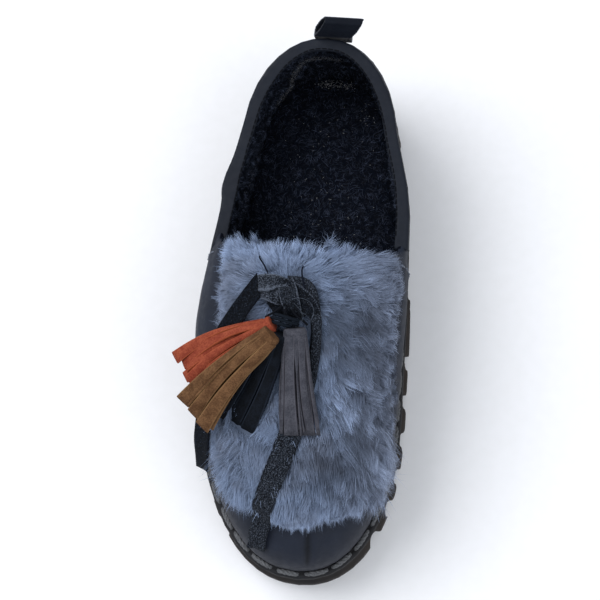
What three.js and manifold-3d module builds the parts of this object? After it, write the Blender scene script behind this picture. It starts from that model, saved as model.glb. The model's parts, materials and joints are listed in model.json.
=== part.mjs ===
// A fur-fronted platform loafer for the right foot, as separate pieces: lugged outsole, welt, insole,
// hollow leather upper, collar binding, heel pull loop, fur vamp cover, velvet ribbon bow and four tassels.
// It stands on z = 0, with its toe towards -Y and the inner side of the foot at +X.
import * as THREE from "three";
import { mergeVertices } from "three/addons/utils/BufferGeometryUtils.js";
import Module from "manifold-3d";

const wasm = await Module();
wasm.setup();
const { clamp, lerp, smoothstep } = THREE.MathUtils;

// Driving sizes in millimetres. "From heel" runs along the sole from the tread's back end,
// and "across" is measured from the straight line through the heel, positive towards the inner side.
const SHOE_LENGTH = 264;
const HEEL_BACK_Y = 132;
const AXIS_X = 6.8;
const GAP = 0.3;

const HEEL_ROUND = 46;
const TOE_ROUND = 98;
const ROUND_POWER = 2.2;

const LUG_REACH = 2;
const LUG_HEIGHT = 9;
const WELT_LEDGE = 4.2;
const WELT_THICKNESS = 4;
const UPPER_INSET = LUG_REACH + WELT_LEDGE;
const UPPER_WALL = 2.4;
const VAMP_STEP = 0.8;
const INSOLE_THICKNESS = 7;
const BINDING_THICKNESS = 1;
const BINDING_DROP = 5;
const FUR_DEPTH = 10;
const RIBBON_WIDTH = 9.5;
const RIBBON_THICKNESS = 1;
const TASSEL_LENGTH = 51;

// Plan of the tread: where its centre line lies and its half width, before both ends are rounded.
const PLAN = [
  { fromHeel: 0, across: -1, half: 37.5 },
  { fromHeel: 45, across: -1.5, half: 39.5 },
  { fromHeel: 85, across: -0.5, half: 46 },
  { fromHeel: 115, across: -2.5, half: 50 },
  { fromHeel: 150, across: -4.5, half: 53 },
  { fromHeel: 185, across: -3, half: 53 },
  { fromHeel: 215, across: -0.5, half: 53 },
  { fromHeel: 264, across: 3, half: 53 },
];

// Side view of the sole: height of the floor side and of the seat, which is the top of the welt.
const SIDE = [
  { fromHeel: 0, floor: 2.5, seat: 37 },
  { fromHeel: 16, floor: 0, seat: 37 },
  { fromHeel: 70, floor: 0, seat: 35.5 },
  { fromHeel: 125, floor: 0, seat: 30 },
  { fromHeel: 170, floor: 0, seat: 27 },
  { fromHeel: 205, floor: 0, seat: 26.5 },
  { fromHeel: 235, floor: 3.2, seat: 29 },
  { fromHeel: 264, floor: 10, seat: 34.5 },
];

// Ridge of the last: its height along the foot, and how boxy the cross section is there.
const RIDGE = [
  { fromHeel: 46, height: 116, boxiness: 2.8 },
  { fromHeel: 85, height: 105, boxiness: 3 },
  { fromHeel: 118, height: 91, boxiness: 2.9 },
  { fromHeel: 150, height: 78, boxiness: 2.7 },
  { fromHeel: 180, height: 67, boxiness: 2.4 },
  { fromHeel: 200, height: 62, boxiness: 2.25 },
  { fromHeel: 214, height: 60.5, boxiness: 2.2 },
];

// How far the soft side walls swell out over the welt.
const SWELL = [
  { fromHeel: 0, out: 1 },
  { fromHeel: 45, out: 6.5 },
  { fromHeel: 80, out: 9.5 },
  { fromHeel: 115, out: 9.5 },
  { fromHeel: 150, out: 8.5 },
  { fromHeel: 180, out: 6.5 },
  { fromHeel: 210, out: 4 },
  { fromHeel: 235, out: 1.5 },
  { fromHeel: 264, out: 0.5 },
];

// Top line of the collar in side view, up to the rounded corner of the throat.
const COLLAR = [
  { fromHeel: -20, height: 99 },
  { fromHeel: 14, height: 95 },
  { fromHeel: 45, height: 86 },
  { fromHeel: 80, height: 78 },
  { fromHeel: 100, height: 74.5 },
];
const THROAT = { fromHeel: 110, height: 84, lean: 5 };
const ABOVE_ALL = 140;
const BELOW_ALL = -1;

// Smooth value of one column of a table at a distance from the heel. It never overshoots its rows.
function row(table, key, fromHeel) {
  const last = table.length - 1;
  const at = clamp(fromHeel, table[0].fromHeel, table[last].fromHeel);
  const k = Math.min(table.findIndex((r, i) => i === last || at <= table[i + 1].fromHeel), last - 1);
  const secant = (i) => (table[i + 1][key] - table[i][key]) / (table[i + 1].fromHeel - table[i].fromHeel);
  const slope = (i) => {
    const before = secant(Math.max(i - 1, 0));
    const after = secant(Math.min(i, last - 1));
    return before * after > 0 ? (2 * before * after) / (before + after) : 0;
  };
  const [a, b] = [table[k], table[k + 1]];
  const span = b.fromHeel - a.fromHeel;
  const t = (at - a.fromHeel) / span;
  const rise = b[key] - a[key];
  const m0 = slope(k) * span;
  const m1 = slope(k + 1) * span;
  return a[key] + t * (m0 + t * (3 * rise - 2 * m0 - m1 + t * (m0 + m1 - 2 * rise)));
}

// A point of the shoe in its own frame.
function place(fromHeel, across, height) {
  return new THREE.Vector3(AXIS_X + across, HEEL_BACK_Y - fromHeel, height);
}

// Superellipse that closes one end of the plan.
function roundEnd(distance, reach) {
  const away = Math.max(0, 1 - distance / reach);
  return (1 - away ** ROUND_POWER) ** (1 / ROUND_POWER);
}

// Half width of the tread with both ends rounded.
function halfWidth(fromHeel) {
  const heel = roundEnd(fromHeel, HEEL_ROUND);
  const toe = roundEnd(SHOE_LENGTH - fromHeel, TOE_ROUND);
  return row(PLAN, "half", fromHeel) * heel * toe;
}

// Plan outline of the tread with its outward direction: from the heel along the outer side to the toe
// and back along the inner side, with point i opposite point count - i.
function rim(count) {
  const half = count / 2;
  const edge = [];
  for (let i = 0; i < count; i++) {
    const share = (1 - Math.cos((Math.PI * Math.min(i, count - i)) / half)) / 2;
    const fromHeel = SHOE_LENGTH * share;
    const side = i <= half ? -1 : 1;
    const across = row(PLAN, "across", fromHeel) + side * halfWidth(fromHeel);
    edge.push({ fromHeel, across, share, side });
  }
  return edge.map((p, i) => {
    const before = edge[(i + count - 1) % count];
    const after = edge[(i + 1) % count];
    const along = after.fromHeel - before.fromHeel;
    const over = after.across - before.across;
    const length = Math.hypot(along, over);
    return { ...p, outAlong: over / length, outAcross: -along / length };
  });
}

// The same outline moved inwards.
function outline(inset, count) {
  return rim(count).map((p) => ({
    fromHeel: p.fromHeel - inset * p.outAlong,
    across: p.across - inset * p.outAcross,
  }));
}

// A closed triangle mesh as a solid with its faces pointing out.
function solid(points, faces) {
  const vertProperties = Float32Array.from(points.flatMap((p) => [p.x, p.y, p.z]));
  const build = (tris) =>
    new wasm.Manifold(new wasm.Mesh({ numProp: 3, vertProperties, triVerts: Uint32Array.from(tris.flat()) }));
  const made = build(faces);
  return made.volume() > 0 ? made : build(faces.map(([a, b, c]) => [a, c, b]));
}

// A three.js geometry as a solid.
function solidOf(geometry) {
  const bare = geometry.clone().deleteAttribute("normal").deleteAttribute("uv");
  const merged = mergeVertices(bare, 1e-3);
  const points = [];
  for (let i = 0; i < merged.attributes.position.count; i++) {
    points.push(new THREE.Vector3().fromBufferAttribute(merged.attributes.position, i));
  }
  const index = merged.index.array;
  const faces = [];
  for (let i = 0; i < index.length; i += 3) {
    const face = [index[i], index[i + 1], index[i + 2]];
    if (new Set(face).size === 3) faces.push(face);
  }
  return solid(points, faces);
}

// All solids of a list as one.
function fuse(solids) {
  return solids.reduce((all, next) => all.add(next));
}

// A cut solid without the specks, smaller than this, that crossing faces leave.
const SPECK = 0.06;
function clean(made) {
  return mainBody(made.simplify(SPECK));
}

// The largest of the bodies that a cut leaves.
function mainBody(made) {
  return made.decompose().reduce((best, body) => (body.volume() > best.volume() ? body : best));
}

// Faces of the band between two rings of the same count, which start at vertex a and vertex b.
function band(a, b, count) {
  const faces = [];
  for (let i = 0; i < count; i++) {
    const next = (i + 1) % count;
    faces.push([a + i, a + next, b + next], [a + i, b + next, b + i]);
  }
  return faces;
}

// Faces that close a ring across from its outer side to its inner side.
function cap(a, count) {
  const faces = [];
  for (let i = 0; i < count / 2; i++) {
    const opposite = (count - i) % count;
    if (i > 0) faces.push([a + i, a + i + 1, a + opposite]);
    if (i < count / 2 - 1) faces.push([a + i + 1, a + count - i - 1, a + opposite]);
  }
  return faces;
}

// A solid from a stack of rings, closed at its first and last ring.
function stack(rings) {
  const count = rings[0].length;
  const faces = cap(0, count).map(([a, b, c]) => [a, c, b]);
  for (let k = 0; k + 1 < rings.length; k++) faces.push(...band(k * count, (k + 1) * count, count));
  faces.push(...cap((rings.length - 1) * count, count));
  return solid(rings.flat(), faces);
}

// A closed loop of material whose section is the list of rings.
function hoop(rings) {
  const count = rings[0].length;
  const faces = rings.flatMap((_, k) => band(k * count, ((k + 1) % rings.length) * count, count));
  return solid(rings.flat(), faces);
}

// A side view shape, drawn in distance from the heel and height, as a block right through the width.
const BLOCK_HALF_WIDTH = 110;
const CURVE_STEPS = 6;
function sideBlock(shape) {
  const geometry = new THREE.ExtrudeGeometry(shape, {
    depth: 2 * BLOCK_HALF_WIDTH,
    bevelEnabled: false,
    curveSegments: CURVE_STEPS,
  });
  geometry.translate(0, 0, -BLOCK_HALF_WIDTH);
  geometry.applyMatrix4(
    new THREE.Matrix4().set(0, 0, 1, AXIS_X, -1, 0, 0, HEEL_BACK_Y, 0, 1, 0, 0, 0, 0, 0, 1),
  );
  return solidOf(geometry);
}

// A side view shape from its corners.
function sideShape(corners) {
  return new THREE.Shape(corners.map(({ fromHeel, height }) => new THREE.Vector2(fromHeel, height)));
}

// A block right through the width between two distances from the heel, from below the floor up to a top.
function sideBox(from, to, top) {
  return sideBlock(
    sideShape([
      { fromHeel: from, height: BELOW_ALL },
      { fromHeel: to, height: BELOW_ALL },
      { fromHeel: to, height: top },
      { fromHeel: from, height: top },
    ]),
  );
}

// Outsole: the lug band stands proud of a waisted side wall, above a bevelled tread edge.
const OUTSOLE_POINTS = 64;
const SOLE_SIDE = [
  { aboveFloor: 0, upShare: 0, inset: 1.2 },
  { aboveFloor: 1.2, upShare: 0, inset: 0 },
  { aboveFloor: LUG_HEIGHT, upShare: 0, inset: 0.2 },
  { aboveFloor: LUG_HEIGHT + 1.6, upShare: 0, inset: LUG_REACH + 0.6 },
  { aboveFloor: 0, upShare: 0.8, inset: LUG_REACH + 0.9 },
  { aboveFloor: 0, upShare: 1, inset: LUG_REACH + 0.3 },
];

function soleRing({ aboveFloor, upShare, inset }) {
  return outline(inset, OUTSOLE_POINTS).map((p) => {
    const floor = row(SIDE, "floor", p.fromHeel);
    const top = row(SIDE, "seat", p.fromHeel) - WELT_THICKNESS - GAP;
    return place(p.fromHeel, p.across, floor + aboveFloor + upShare * (top - floor));
  });
}

// The arch between the heel's breast and the forefoot, and the grooves that part the lugs:
// shallow right across the tread, and as high as the lug band at its edge.
const ARCH = [
  { fromHeel: 74, height: BELOW_ALL },
  { fromHeel: 76, height: 8 },
  { fromHeel: 81, height: 11 },
  { fromHeel: 110, height: 10 },
  { fromHeel: 128, height: 5 },
  { fromHeel: 140, height: BELOW_ALL },
];
const GROOVES_FROM_HEEL = [19, 37, 55, 148, 168, 187.5, 206, 222, 238];
const GROOVE = { width: 7, depth: 4.5 };
const NOTCH = { width: 8, depth: LUG_HEIGHT + 0.6 };
const LUG_LENGTH_ACROSS = 13;

function groove(fromHeel, { width, depth }) {
  return sideBox(fromHeel - width / 2, fromHeel + width / 2, row(SIDE, "floor", fromHeel) + depth);
}

const treadCore = stack(
  [BELOW_ALL, ABOVE_ALL].map((height) =>
    outline(LUG_LENGTH_ACROSS, OUTSOLE_POINTS / 2).map((p) => place(p.fromHeel, p.across, height)),
  ),
);
const sideNotches = fuse(GROOVES_FROM_HEEL.map((d) => groove(d, NOTCH))).subtract(treadCore);
const outsole = clean(
  stack(SOLE_SIDE.map(soleRing))
    .subtract(sideBlock(sideShape(ARCH)))
    .subtract(fuse(GROOVES_FROM_HEEL.map((d) => groove(d, GROOVE))))
    .subtract(sideNotches),
);

// Welt: a strip round the shoe that carries the upper, with a groove where the heavy thread lies.
const WELT_POINTS = 52;
const WELT_SECTION = [
  { inset: LUG_REACH + 0.4, belowSeat: WELT_THICKNESS },
  { inset: LUG_REACH - 0.4, belowSeat: WELT_THICKNESS / 2 },
  { inset: LUG_REACH + 0.4, belowSeat: 0.3 },
  { inset: UPPER_INSET - 2.4, belowSeat: 0 },
  { inset: UPPER_INSET - 1.2, belowSeat: 1 },
  { inset: UPPER_INSET, belowSeat: 0 },
  { inset: UPPER_INSET + UPPER_WALL + 0.4, belowSeat: 0 },
  { inset: UPPER_INSET + UPPER_WALL + 0.4, belowSeat: WELT_THICKNESS },
];
const welt = hoop(
  WELT_SECTION.map(({ inset, belowSeat }) =>
    outline(inset, WELT_POINTS).map((p) => {
      return place(p.fromHeel, p.across, row(SIDE, "seat", p.fromHeel) - belowSeat);
    }),
  ),
);

// Insole: a padded footbed that fills the welt and stands a little above it.
const INSOLE_POINTS = 48;
const INSOLE_INSET = UPPER_INSET + UPPER_WALL + 1.2;
const INSOLE_TAPER = 0.8;
const insole = stack(
  [0, 1].map((level) =>
    outline(INSOLE_INSET + INSOLE_TAPER * level, INSOLE_POINTS).map((p) => {
      const bottom = row(SIDE, "seat", p.fromHeel) - WELT_THICKNESS;
      return place(p.fromHeel, p.across, bottom + level * INSOLE_THICKNESS);
    }),
  ),
);

// A point of the last's surface above one point of the rim: up runs from the seat at 0 to the ridge at 1,
// along a superellipse that swells at the sides, and grow moves the point outwards.
function lastPoint(edge, up, grow, sink = -GAP) {
  const along = lerp(RIDGE[0].fromHeel, RIDGE.at(-1).fromHeel, edge.share);
  const power = 2 / row(RIDGE, "boxiness", along);
  const angle = (Math.PI / 2) * up;
  const inward = 1 - Math.cos(angle) ** power;
  const rise = Math.sin(angle) ** power;
  const inset = UPPER_INSET - grow - row(SWELL, "out", edge.fromHeel) * Math.sin(Math.PI * up);
  const foot = row(SIDE, "seat", edge.fromHeel) - sink;
  return place(
    lerp(edge.fromHeel - inset * edge.outAlong, along, inward),
    lerp(edge.across - inset * edge.outAcross, row(PLAN, "across", along), inward),
    lerp(foot, row(RIDGE, "height", along) + grow, rise),
  );
}

// The last's whole form as a solid, closed underneath.
const LAST_AROUND = 56;
const LAST_LEVELS = 8;
function lastForm(grow, sink) {
  const edge = rim(LAST_AROUND);
  const points = [];
  for (let j = 0; j < LAST_LEVELS; j++) {
    points.push(...edge.map((p) => lastPoint(p, j / LAST_LEVELS, grow, sink)));
  }
  const faces = cap(0, LAST_AROUND).map(([a, b, c]) => [a, c, b]);
  for (let j = 0; j + 1 < LAST_LEVELS; j++) {
    faces.push(...band(j * LAST_AROUND, (j + 1) * LAST_AROUND, LAST_AROUND));
  }
  const ridgeStart = points.length;
  points.push(...edge.slice(0, LAST_AROUND / 2 + 1).map((p) => lastPoint(p, 1, grow)));
  const ridgeVertex = (i) => ridgeStart + Math.min(i, LAST_AROUND - i);
  const top = (LAST_LEVELS - 1) * LAST_AROUND;
  for (let i = 0; i < LAST_AROUND; i++) {
    const next = (i + 1) % LAST_AROUND;
    const [a, b] = [ridgeVertex(i), ridgeVertex(next)];
    faces.push([top + i, top + next, b], [top + i, b, a]);
  }
  return solid(points, faces);
}

// Everything above the collar line and behind the throat, lowered by some millimetres.
const COLLAR_STEP = 6;
function collarBlock(lower) {
  const corner = COLLAR.at(-1);
  const shape = new THREE.Shape().moveTo(COLLAR[0].fromHeel, ABOVE_ALL);
  for (let fromHeel = COLLAR[0].fromHeel; fromHeel < corner.fromHeel; fromHeel += COLLAR_STEP) {
    shape.lineTo(fromHeel, row(COLLAR, "height", fromHeel) - lower);
  }
  shape.lineTo(corner.fromHeel, corner.height - lower);
  const throat = THROAT.fromHeel + lower;
  shape.quadraticCurveTo(throat, corner.height - lower, throat, THROAT.height);
  shape.lineTo(throat + THROAT.lean, ABOVE_ALL);
  return sideBlock(shape);
}

// Upper: one hollow wall, with the vamp lapped over the quarters as a step behind the fur.
const VAMP_SEAM = [
  { fromHeel: 118, height: 0 },
  { fromHeel: 112, height: 80 },
  { fromHeel: 112, height: ABOVE_ALL },
  { fromHeel: SHOE_LENGTH, height: ABOVE_ALL },
  { fromHeel: SHOE_LENGTH, height: 0 },
];
const CAVITY_SINK = 8;
const vamp = lastForm(VAMP_STEP, -2 * GAP).intersect(sideBlock(sideShape(VAMP_SEAM)));
const upper = clean(
  lastForm(0)
    .add(vamp)
    .subtract(lastForm(-UPPER_WALL, CAVITY_SINK))
    .subtract(collarBlock(BINDING_THICKNESS + GAP)),
);

// Collar binding: a folded strip over the collar's edge, clear of the wall that it grips.
const BINDING_END = 98;
const shell = (grow) => lastForm(grow).subtract(lastForm(-UPPER_WALL - grow, CAVITY_SINK));
const besideOpening = sideBox(COLLAR[0].fromHeel, BINDING_END, ABOVE_ALL);
const gripped = shell(GAP).subtract(collarBlock(BINDING_THICKNESS));
const collarBinding = clean(
  shell(GAP + BINDING_THICKNESS)
    .intersect(collarBlock(BINDING_DROP).subtract(collarBlock(0)))
    .intersect(besideOpening)
    .subtract(gripped),
);

// A flat band through samples of {at, side, out, width, thick}: one rectangle at each.
const CORNERS = [
  [-0.5, -0.5],
  [0.5, -0.5],
  [0.5, 0.5],
  [-0.5, 0.5],
];
function strap(samples) {
  return stack(
    samples.map(({ at, side, out, width, thick }) =>
      CORNERS.map(([s, o]) => at.clone().addScaledVector(side, s * width).addScaledVector(out, o * thick)),
    ),
  );
}

// Pull loop: a folded tape with both ends sewn to the outside of the heel. It leans back and inwards.
// Its side view is measured from the wall's outer face, outwards, and from the floor.
const LOOP_WIDTH = 18;
const LOOP_THICKNESS = 1.5;
const LOOP_LEAN = { from: 96, back: 0.1, inwards: 0.3 };
const LOOP_ACROSS = 3;
const LOOP_SIDE = [
  { off: 4.3, height: 80 },
  { off: 4.3, height: 91 },
  { off: 6, height: 99 },
  { off: 7.6, height: 106.5 },
  { off: 6.8, height: 113 },
  { off: 4, height: 116 },
  { off: 1.2, height: 113 },
  { off: 0.4, height: 106.5 },
  { off: 1.4, height: 99 },
  { off: 2.4, height: 91 },
  { off: 2.4, height: 80 },
];

// The wall's outer face at the very back of the heel, at one height.
const heelBack = rim(LAST_AROUND)[0];
const HALVINGS = 30;
function wallBack(height) {
  let [low, high] = [0, 1];
  for (let step = 0; step < HALVINGS; step++) {
    const middle = (low + high) / 2;
    if (lastPoint(heelBack, middle, 0).z < height) low = middle;
    else high = middle;
  }
  return lastPoint(heelBack, low, 0);
}
const loopRoute = LOOP_SIDE.map(({ off, height }) => {
  const risen = Math.max(0, height - LOOP_LEAN.from);
  const wall = wallBack(Math.min(height, LOOP_LEAN.from));
  return new THREE.Vector3(
    AXIS_X + LOOP_ACROSS + risen * LOOP_LEAN.inwards,
    wall.y + off + risen * LOOP_LEAN.back,
    height,
  );
});
const pullLoop = strap(
  loopRoute.map((at, k) => {
    const before = loopRoute[Math.max(k - 1, 0)];
    const after = loopRoute[Math.min(k + 1, loopRoute.length - 1)];
    const side = new THREE.Vector3(1, 0, 0);
    const out = side.clone().cross(after.clone().sub(before)).normalize();
    return { at, side, out, width: LOOP_WIDTH, thick: LOOP_THICKNESS };
  }),
);

// Fur cover: a deep pelt over the vamp, thinner at its edges. Its lower edge is given as a height on the
// last, from 0 at the seat to 1 at the ridge, for the outer and the inner side.
const FUR_AROUND = 62;
const FUR_FIRST = 14;
const FUR_LEVELS = 6;
const FUR_BACKING = VAMP_STEP + 2.5 * GAP;
const FUR_EDGE = [
  { fromHeel: 100, outer: 0.61, inner: 0.5 },
  { fromHeel: 150, outer: 0.67, inner: 0.49 },
  { fromHeel: 180, outer: 0.61, inner: 0.42 },
  { fromHeel: 205, outer: 0.52, inner: 0.36 },
  { fromHeel: 228, outer: 0.43, inner: 0.36 },
  { fromHeel: 240, outer: 0.5, inner: 0.45 },
  { fromHeel: 250, outer: 0.62, inner: 0.57 },
  { fromHeel: 264, outer: 0.66, inner: 0.66 },
];

// Depth of the pelt: thin along its lower edge and at the throat, full further in, and none below the edge.
const FUR_SIDE = { thin: 0.35, fullAtShare: 0.35, noneAtShare: -0.25 };
const FUR_THROAT = { thin: 0.6, thinAt: 108, fullAt: 132 };

function furDepth(edge, share) {
  const below = smoothstep(share, FUR_SIDE.noneAtShare, 0);
  const fromSide = lerp(FUR_SIDE.thin, 1, smoothstep(share, 0, FUR_SIDE.fullAtShare)) * below;
  const within = smoothstep(edge.fromHeel, FUR_THROAT.thinAt, FUR_THROAT.fullAt);
  return FUR_DEPTH * fromSide * lerp(FUR_THROAT.thin, 1, within);
}

// A point of the pelt: share runs from its lower edge at 0 to the ridge at 1, and depth from skin to tips.
function furPoint(edge, share, depth) {
  const low = row(FUR_EDGE, edge.side < 0 ? "outer" : "inner", edge.fromHeel);
  return lastPoint(edge, lerp(low, 1, Math.min(share, 1)), FUR_BACKING + depth * furDepth(edge, share));
}

// A sheet of the pelt between two shares: its points, its faces and the loop of vertices round its edge.
function furSheet(depth, lowest, levels) {
  const edge = rim(FUR_AROUND).slice(FUR_FIRST, FUR_AROUND - FUR_FIRST + 1);
  const count = edge.length;
  const middle = (count - 1) / 2;
  const points = [];
  for (let j = 0; j < levels; j++) {
    points.push(...edge.map((p) => furPoint(p, lerp(lowest, 1, j / levels), depth)));
  }
  const ridgeStart = points.length;
  points.push(...edge.slice(0, middle + 1).map((p) => furPoint(p, 1, depth)));
  const at = (j, k) => (j < levels ? j * count + k : ridgeStart + Math.min(k, count - 1 - k));
  const faces = [];
  for (let j = 0; j < levels; j++) {
    for (let k = 0; k + 1 < count; k++) {
      faces.push([at(j, k), at(j, k + 1), at(j + 1, k + 1)], [at(j, k), at(j + 1, k + 1), at(j + 1, k)]);
    }
  }
  const loop = edge.map((_, k) => k);
  for (let j = 1; j <= levels; j++) loop.push(at(j, count - 1));
  for (let j = levels - 1; j > 0; j--) loop.push(at(j, 0));
  return { points, faces, loop };
}

function furBody() {
  const skin = furSheet(0, 0, FUR_LEVELS);
  const tips = furSheet(1, 0, FUR_LEVELS);
  const count = tips.points.length;
  const faces = [...tips.faces, ...skin.faces.map(([a, b, c]) => [count + a, count + c, count + b])];
  tips.loop.forEach((a, i) => {
    const b = tips.loop[(i + 1) % tips.loop.length];
    faces.push([b, a, count + a], [b, count + a, count + b]);
  });
  return solid([...tips.points, ...skin.points], faces);
}

// Locks of hair fused on: rows that lie down over the sides and the toe, and one that hangs over the throat.
const LOCK_ROWS = [
  { share: 0.05, every: 1, reach: 0.2, proud: 1.05 },
  { share: 0.34, every: 2, reach: 0.26, proud: 1.2 },
  { share: 0.56, every: 2, reach: 0.24, proud: 1.2 },
  { share: 0.78, every: 3, reach: 0.22, proud: 1.24 },
];
const THROAT_LOCKS = [0.1, 0.25, 0.4, 0.55, 0.7, 0.85, 0.97];
const THROAT_WANDER = 0.02;
const LOCK_ROOT = { depth: 0.5, high: 0.9, low: 0.2, length: 0.1 };
const waver = (i) => 0.8 + 0.4 * Math.sin(2.4 * i) ** 2;

function lock(a, b, c, tip) {
  return solid(
    [a, b, c, tip],
    [
      [0, 1, 2],
      [0, 3, 1],
      [1, 3, 2],
      [2, 3, 0],
    ],
  );
}

function furLocks() {
  const edge = rim(2 * FUR_AROUND);
  const [first, last] = [2 * FUR_FIRST, 2 * (FUR_AROUND - FUR_FIRST)];
  const locks = [];
  LOCK_ROWS.forEach(({ share, every, reach, proud }, j) => {
    for (let i = first + 2 + (j % 2) * every; i <= last - 2; i += 2 * every) {
      const tip = furPoint(edge[i], share - reach * waver(i), proud);
      const high = furPoint(edge[i], share + LOCK_ROOT.length, LOCK_ROOT.depth);
      const [left, right] = [i - 1, i + 1].map((k) => furPoint(edge[k], share, LOCK_ROOT.depth));
      locks.push(lock(left, right, high, tip));
    }
  });
  THROAT_LOCKS.forEach((share, j) => {
    for (const [root, behind] of [
      [first + 1, -2],
      [last - 1, 2],
    ]) {
      const tip = furPoint(edge[root + behind], share + THROAT_WANDER * waver(j), 1);
      const high = furPoint(edge[root], share, LOCK_ROOT.high);
      const low = furPoint(edge[root], share, LOCK_ROOT.low);
      const beside = furPoint(edge[root], share + LOCK_ROOT.length, LOCK_ROOT.depth);
      locks.push(lock(high, low, beside, tip));
    }
  });
  return fuse(locks);
}

// The nearest place on the pelt's tips to a point, lifted off it, with the direction away from the pelt.
const PELT_BELOW_EDGE = -1;
const pelt = furSheet(1, PELT_BELOW_EDGE, 2 * FUR_LEVELS);
const peltGeometry = new THREE.BufferGeometry().setFromPoints(pelt.points).setIndex(pelt.faces.flat());
peltGeometry.computeVertexNormals();
const peltNormals = pelt.points.map((_, i) =>
  new THREE.Vector3().fromBufferAttribute(peltGeometry.attributes.normal, i),
);
const peltSign = Math.sign(peltNormals.at(-1).z);

function drape(point, lift) {
  const triangle = new THREE.Triangle();
  const near = new THREE.Vector3();
  let best = { gap: Infinity };
  for (const [a, b, c] of pelt.faces) {
    triangle.set(pelt.points[a], pelt.points[b], pelt.points[c]).closestPointToPoint(point, near);
    const gap = near.distanceToSquared(point);
    if (gap >= best.gap) continue;
    const share = triangle.getBarycoord(near, new THREE.Vector3());
    const out = new THREE.Vector3()
      .addScaledVector(peltNormals[a], share.x)
      .addScaledVector(peltNormals[b], share.y)
      .addScaledVector(peltNormals[c], share.z);
    best = { gap, at: near.clone(), out: out.multiplyScalar(peltSign).normalize() };
  }
  return { at: best.at.addScaledVector(best.out, lift), out: best.out };
}

// Samples of a ribbon laid on the pelt along a route of {fromHeel, across, height, lift} rows.
const RIBBON_LIFT = GAP + RIBBON_THICKNESS / 2;
function laid(route, steps, raise, sideways = 0) {
  const spots = route.map((r) => place(r.fromHeel, r.across, r.height));
  const curve = new THREE.CatmullRomCurve3(spots);
  const lifts = new THREE.CatmullRomCurve3(route.map((r) => new THREE.Vector3(r.lift, 0, 0)));
  const middles = [];
  for (let k = 0; k <= steps; k++) {
    middles.push(drape(curve.getPoint(k / steps), RIBBON_LIFT + raise + lifts.getPoint(k / steps).x));
  }
  return middles.map(({ at, out }, k) => {
    const ahead = middles[Math.min(k + 1, steps)].at.clone().sub(middles[Math.max(k - 1, 0)].at).normalize();
    const side = out.clone().cross(ahead).normalize();
    const facing = ahead.clone().cross(side).normalize();
    return { at: at.clone().addScaledVector(side, sideways), side, out: facing, ahead };
  });
}

// Velvet ribbon: a knot with an arched band over it, a tail that hangs over the outer side, and a long
// flat loop down to the toe, folded at its end. The loop's upper layer lies higher and a little to one side.
const LAYER = { rise: RIBBON_THICKNESS + 0.4, shift: 1.6, foldReach: 1.2 };
const OUTER_TAIL = [
  { fromHeel: 134, across: -12, height: 96, lift: 1 },
  { fromHeel: 128, across: -21, height: 93, lift: 0.6 },
  { fromHeel: 138, across: -28.5, height: 91, lift: 1.2 },
  { fromHeel: 149, across: -34.5, height: 85, lift: 2.6 },
  { fromHeel: 160, across: -38.5, height: 79, lift: 2.2 },
  { fromHeel: 172, across: -41, height: 72, lift: 1.2 },
  { fromHeel: 186, across: -42.5, height: 65, lift: 0.6 },
  { fromHeel: 199, across: -43, height: 58.5, lift: 0 },
  { fromHeel: 215, across: -41, height: 50, lift: 0 },
];
const TOE_LOOP = [
  { fromHeel: 134, across: -8, height: 98, lift: 2 },
  { fromHeel: 134, across: 0, height: 97, lift: 3 },
  { fromHeel: 142, across: 4.5, height: 93, lift: 2 },
  { fromHeel: 157, across: 6, height: 88, lift: 0.6 },
  { fromHeel: 180, across: 4.5, height: 80, lift: 0 },
  { fromHeel: 200, across: -0.5, height: 73, lift: 0 },
  { fromHeel: 225, across: -6.5, height: 64, lift: 0 },
  { fromHeel: 248.5, across: -15, height: 49.5, lift: 0 },
];
const KNOT_BAND = [
  { fromHeel: 131, across: -21, height: 95, lift: 0.6 },
  { fromHeel: 131, across: -15, height: 98, lift: 5 },
  { fromHeel: 133, across: -8, height: 100, lift: 6.5 },
  { fromHeel: 136, across: -1, height: 98, lift: 5 },
  { fromHeel: 140, across: 4, height: 96, lift: 1 },
];
const KNOT_WRAP = [
  { fromHeel: 127, across: -10, height: 96, lift: 0.6 },
  { fromHeel: 130, across: -10, height: 98, lift: 7 },
  { fromHeel: 137, across: -8, height: 100, lift: 8.2 },
  { fromHeel: 144, across: -7, height: 97, lift: 6 },
  { fromHeel: 148, across: -6, height: 94, lift: 1 },
];
const TAIL_STEPS = 14;
const LOOP_STEPS = 18;
const KNOT_STEPS = 6;
const KNOT_CORE = { fromHeel: 137, across: -8.5, height: 98, lift: 3.4, long: 7.5, wide: 9.5, high: 4.2 };
const KNOT_SEGMENTS = { around: 12, high: 8 };

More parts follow.
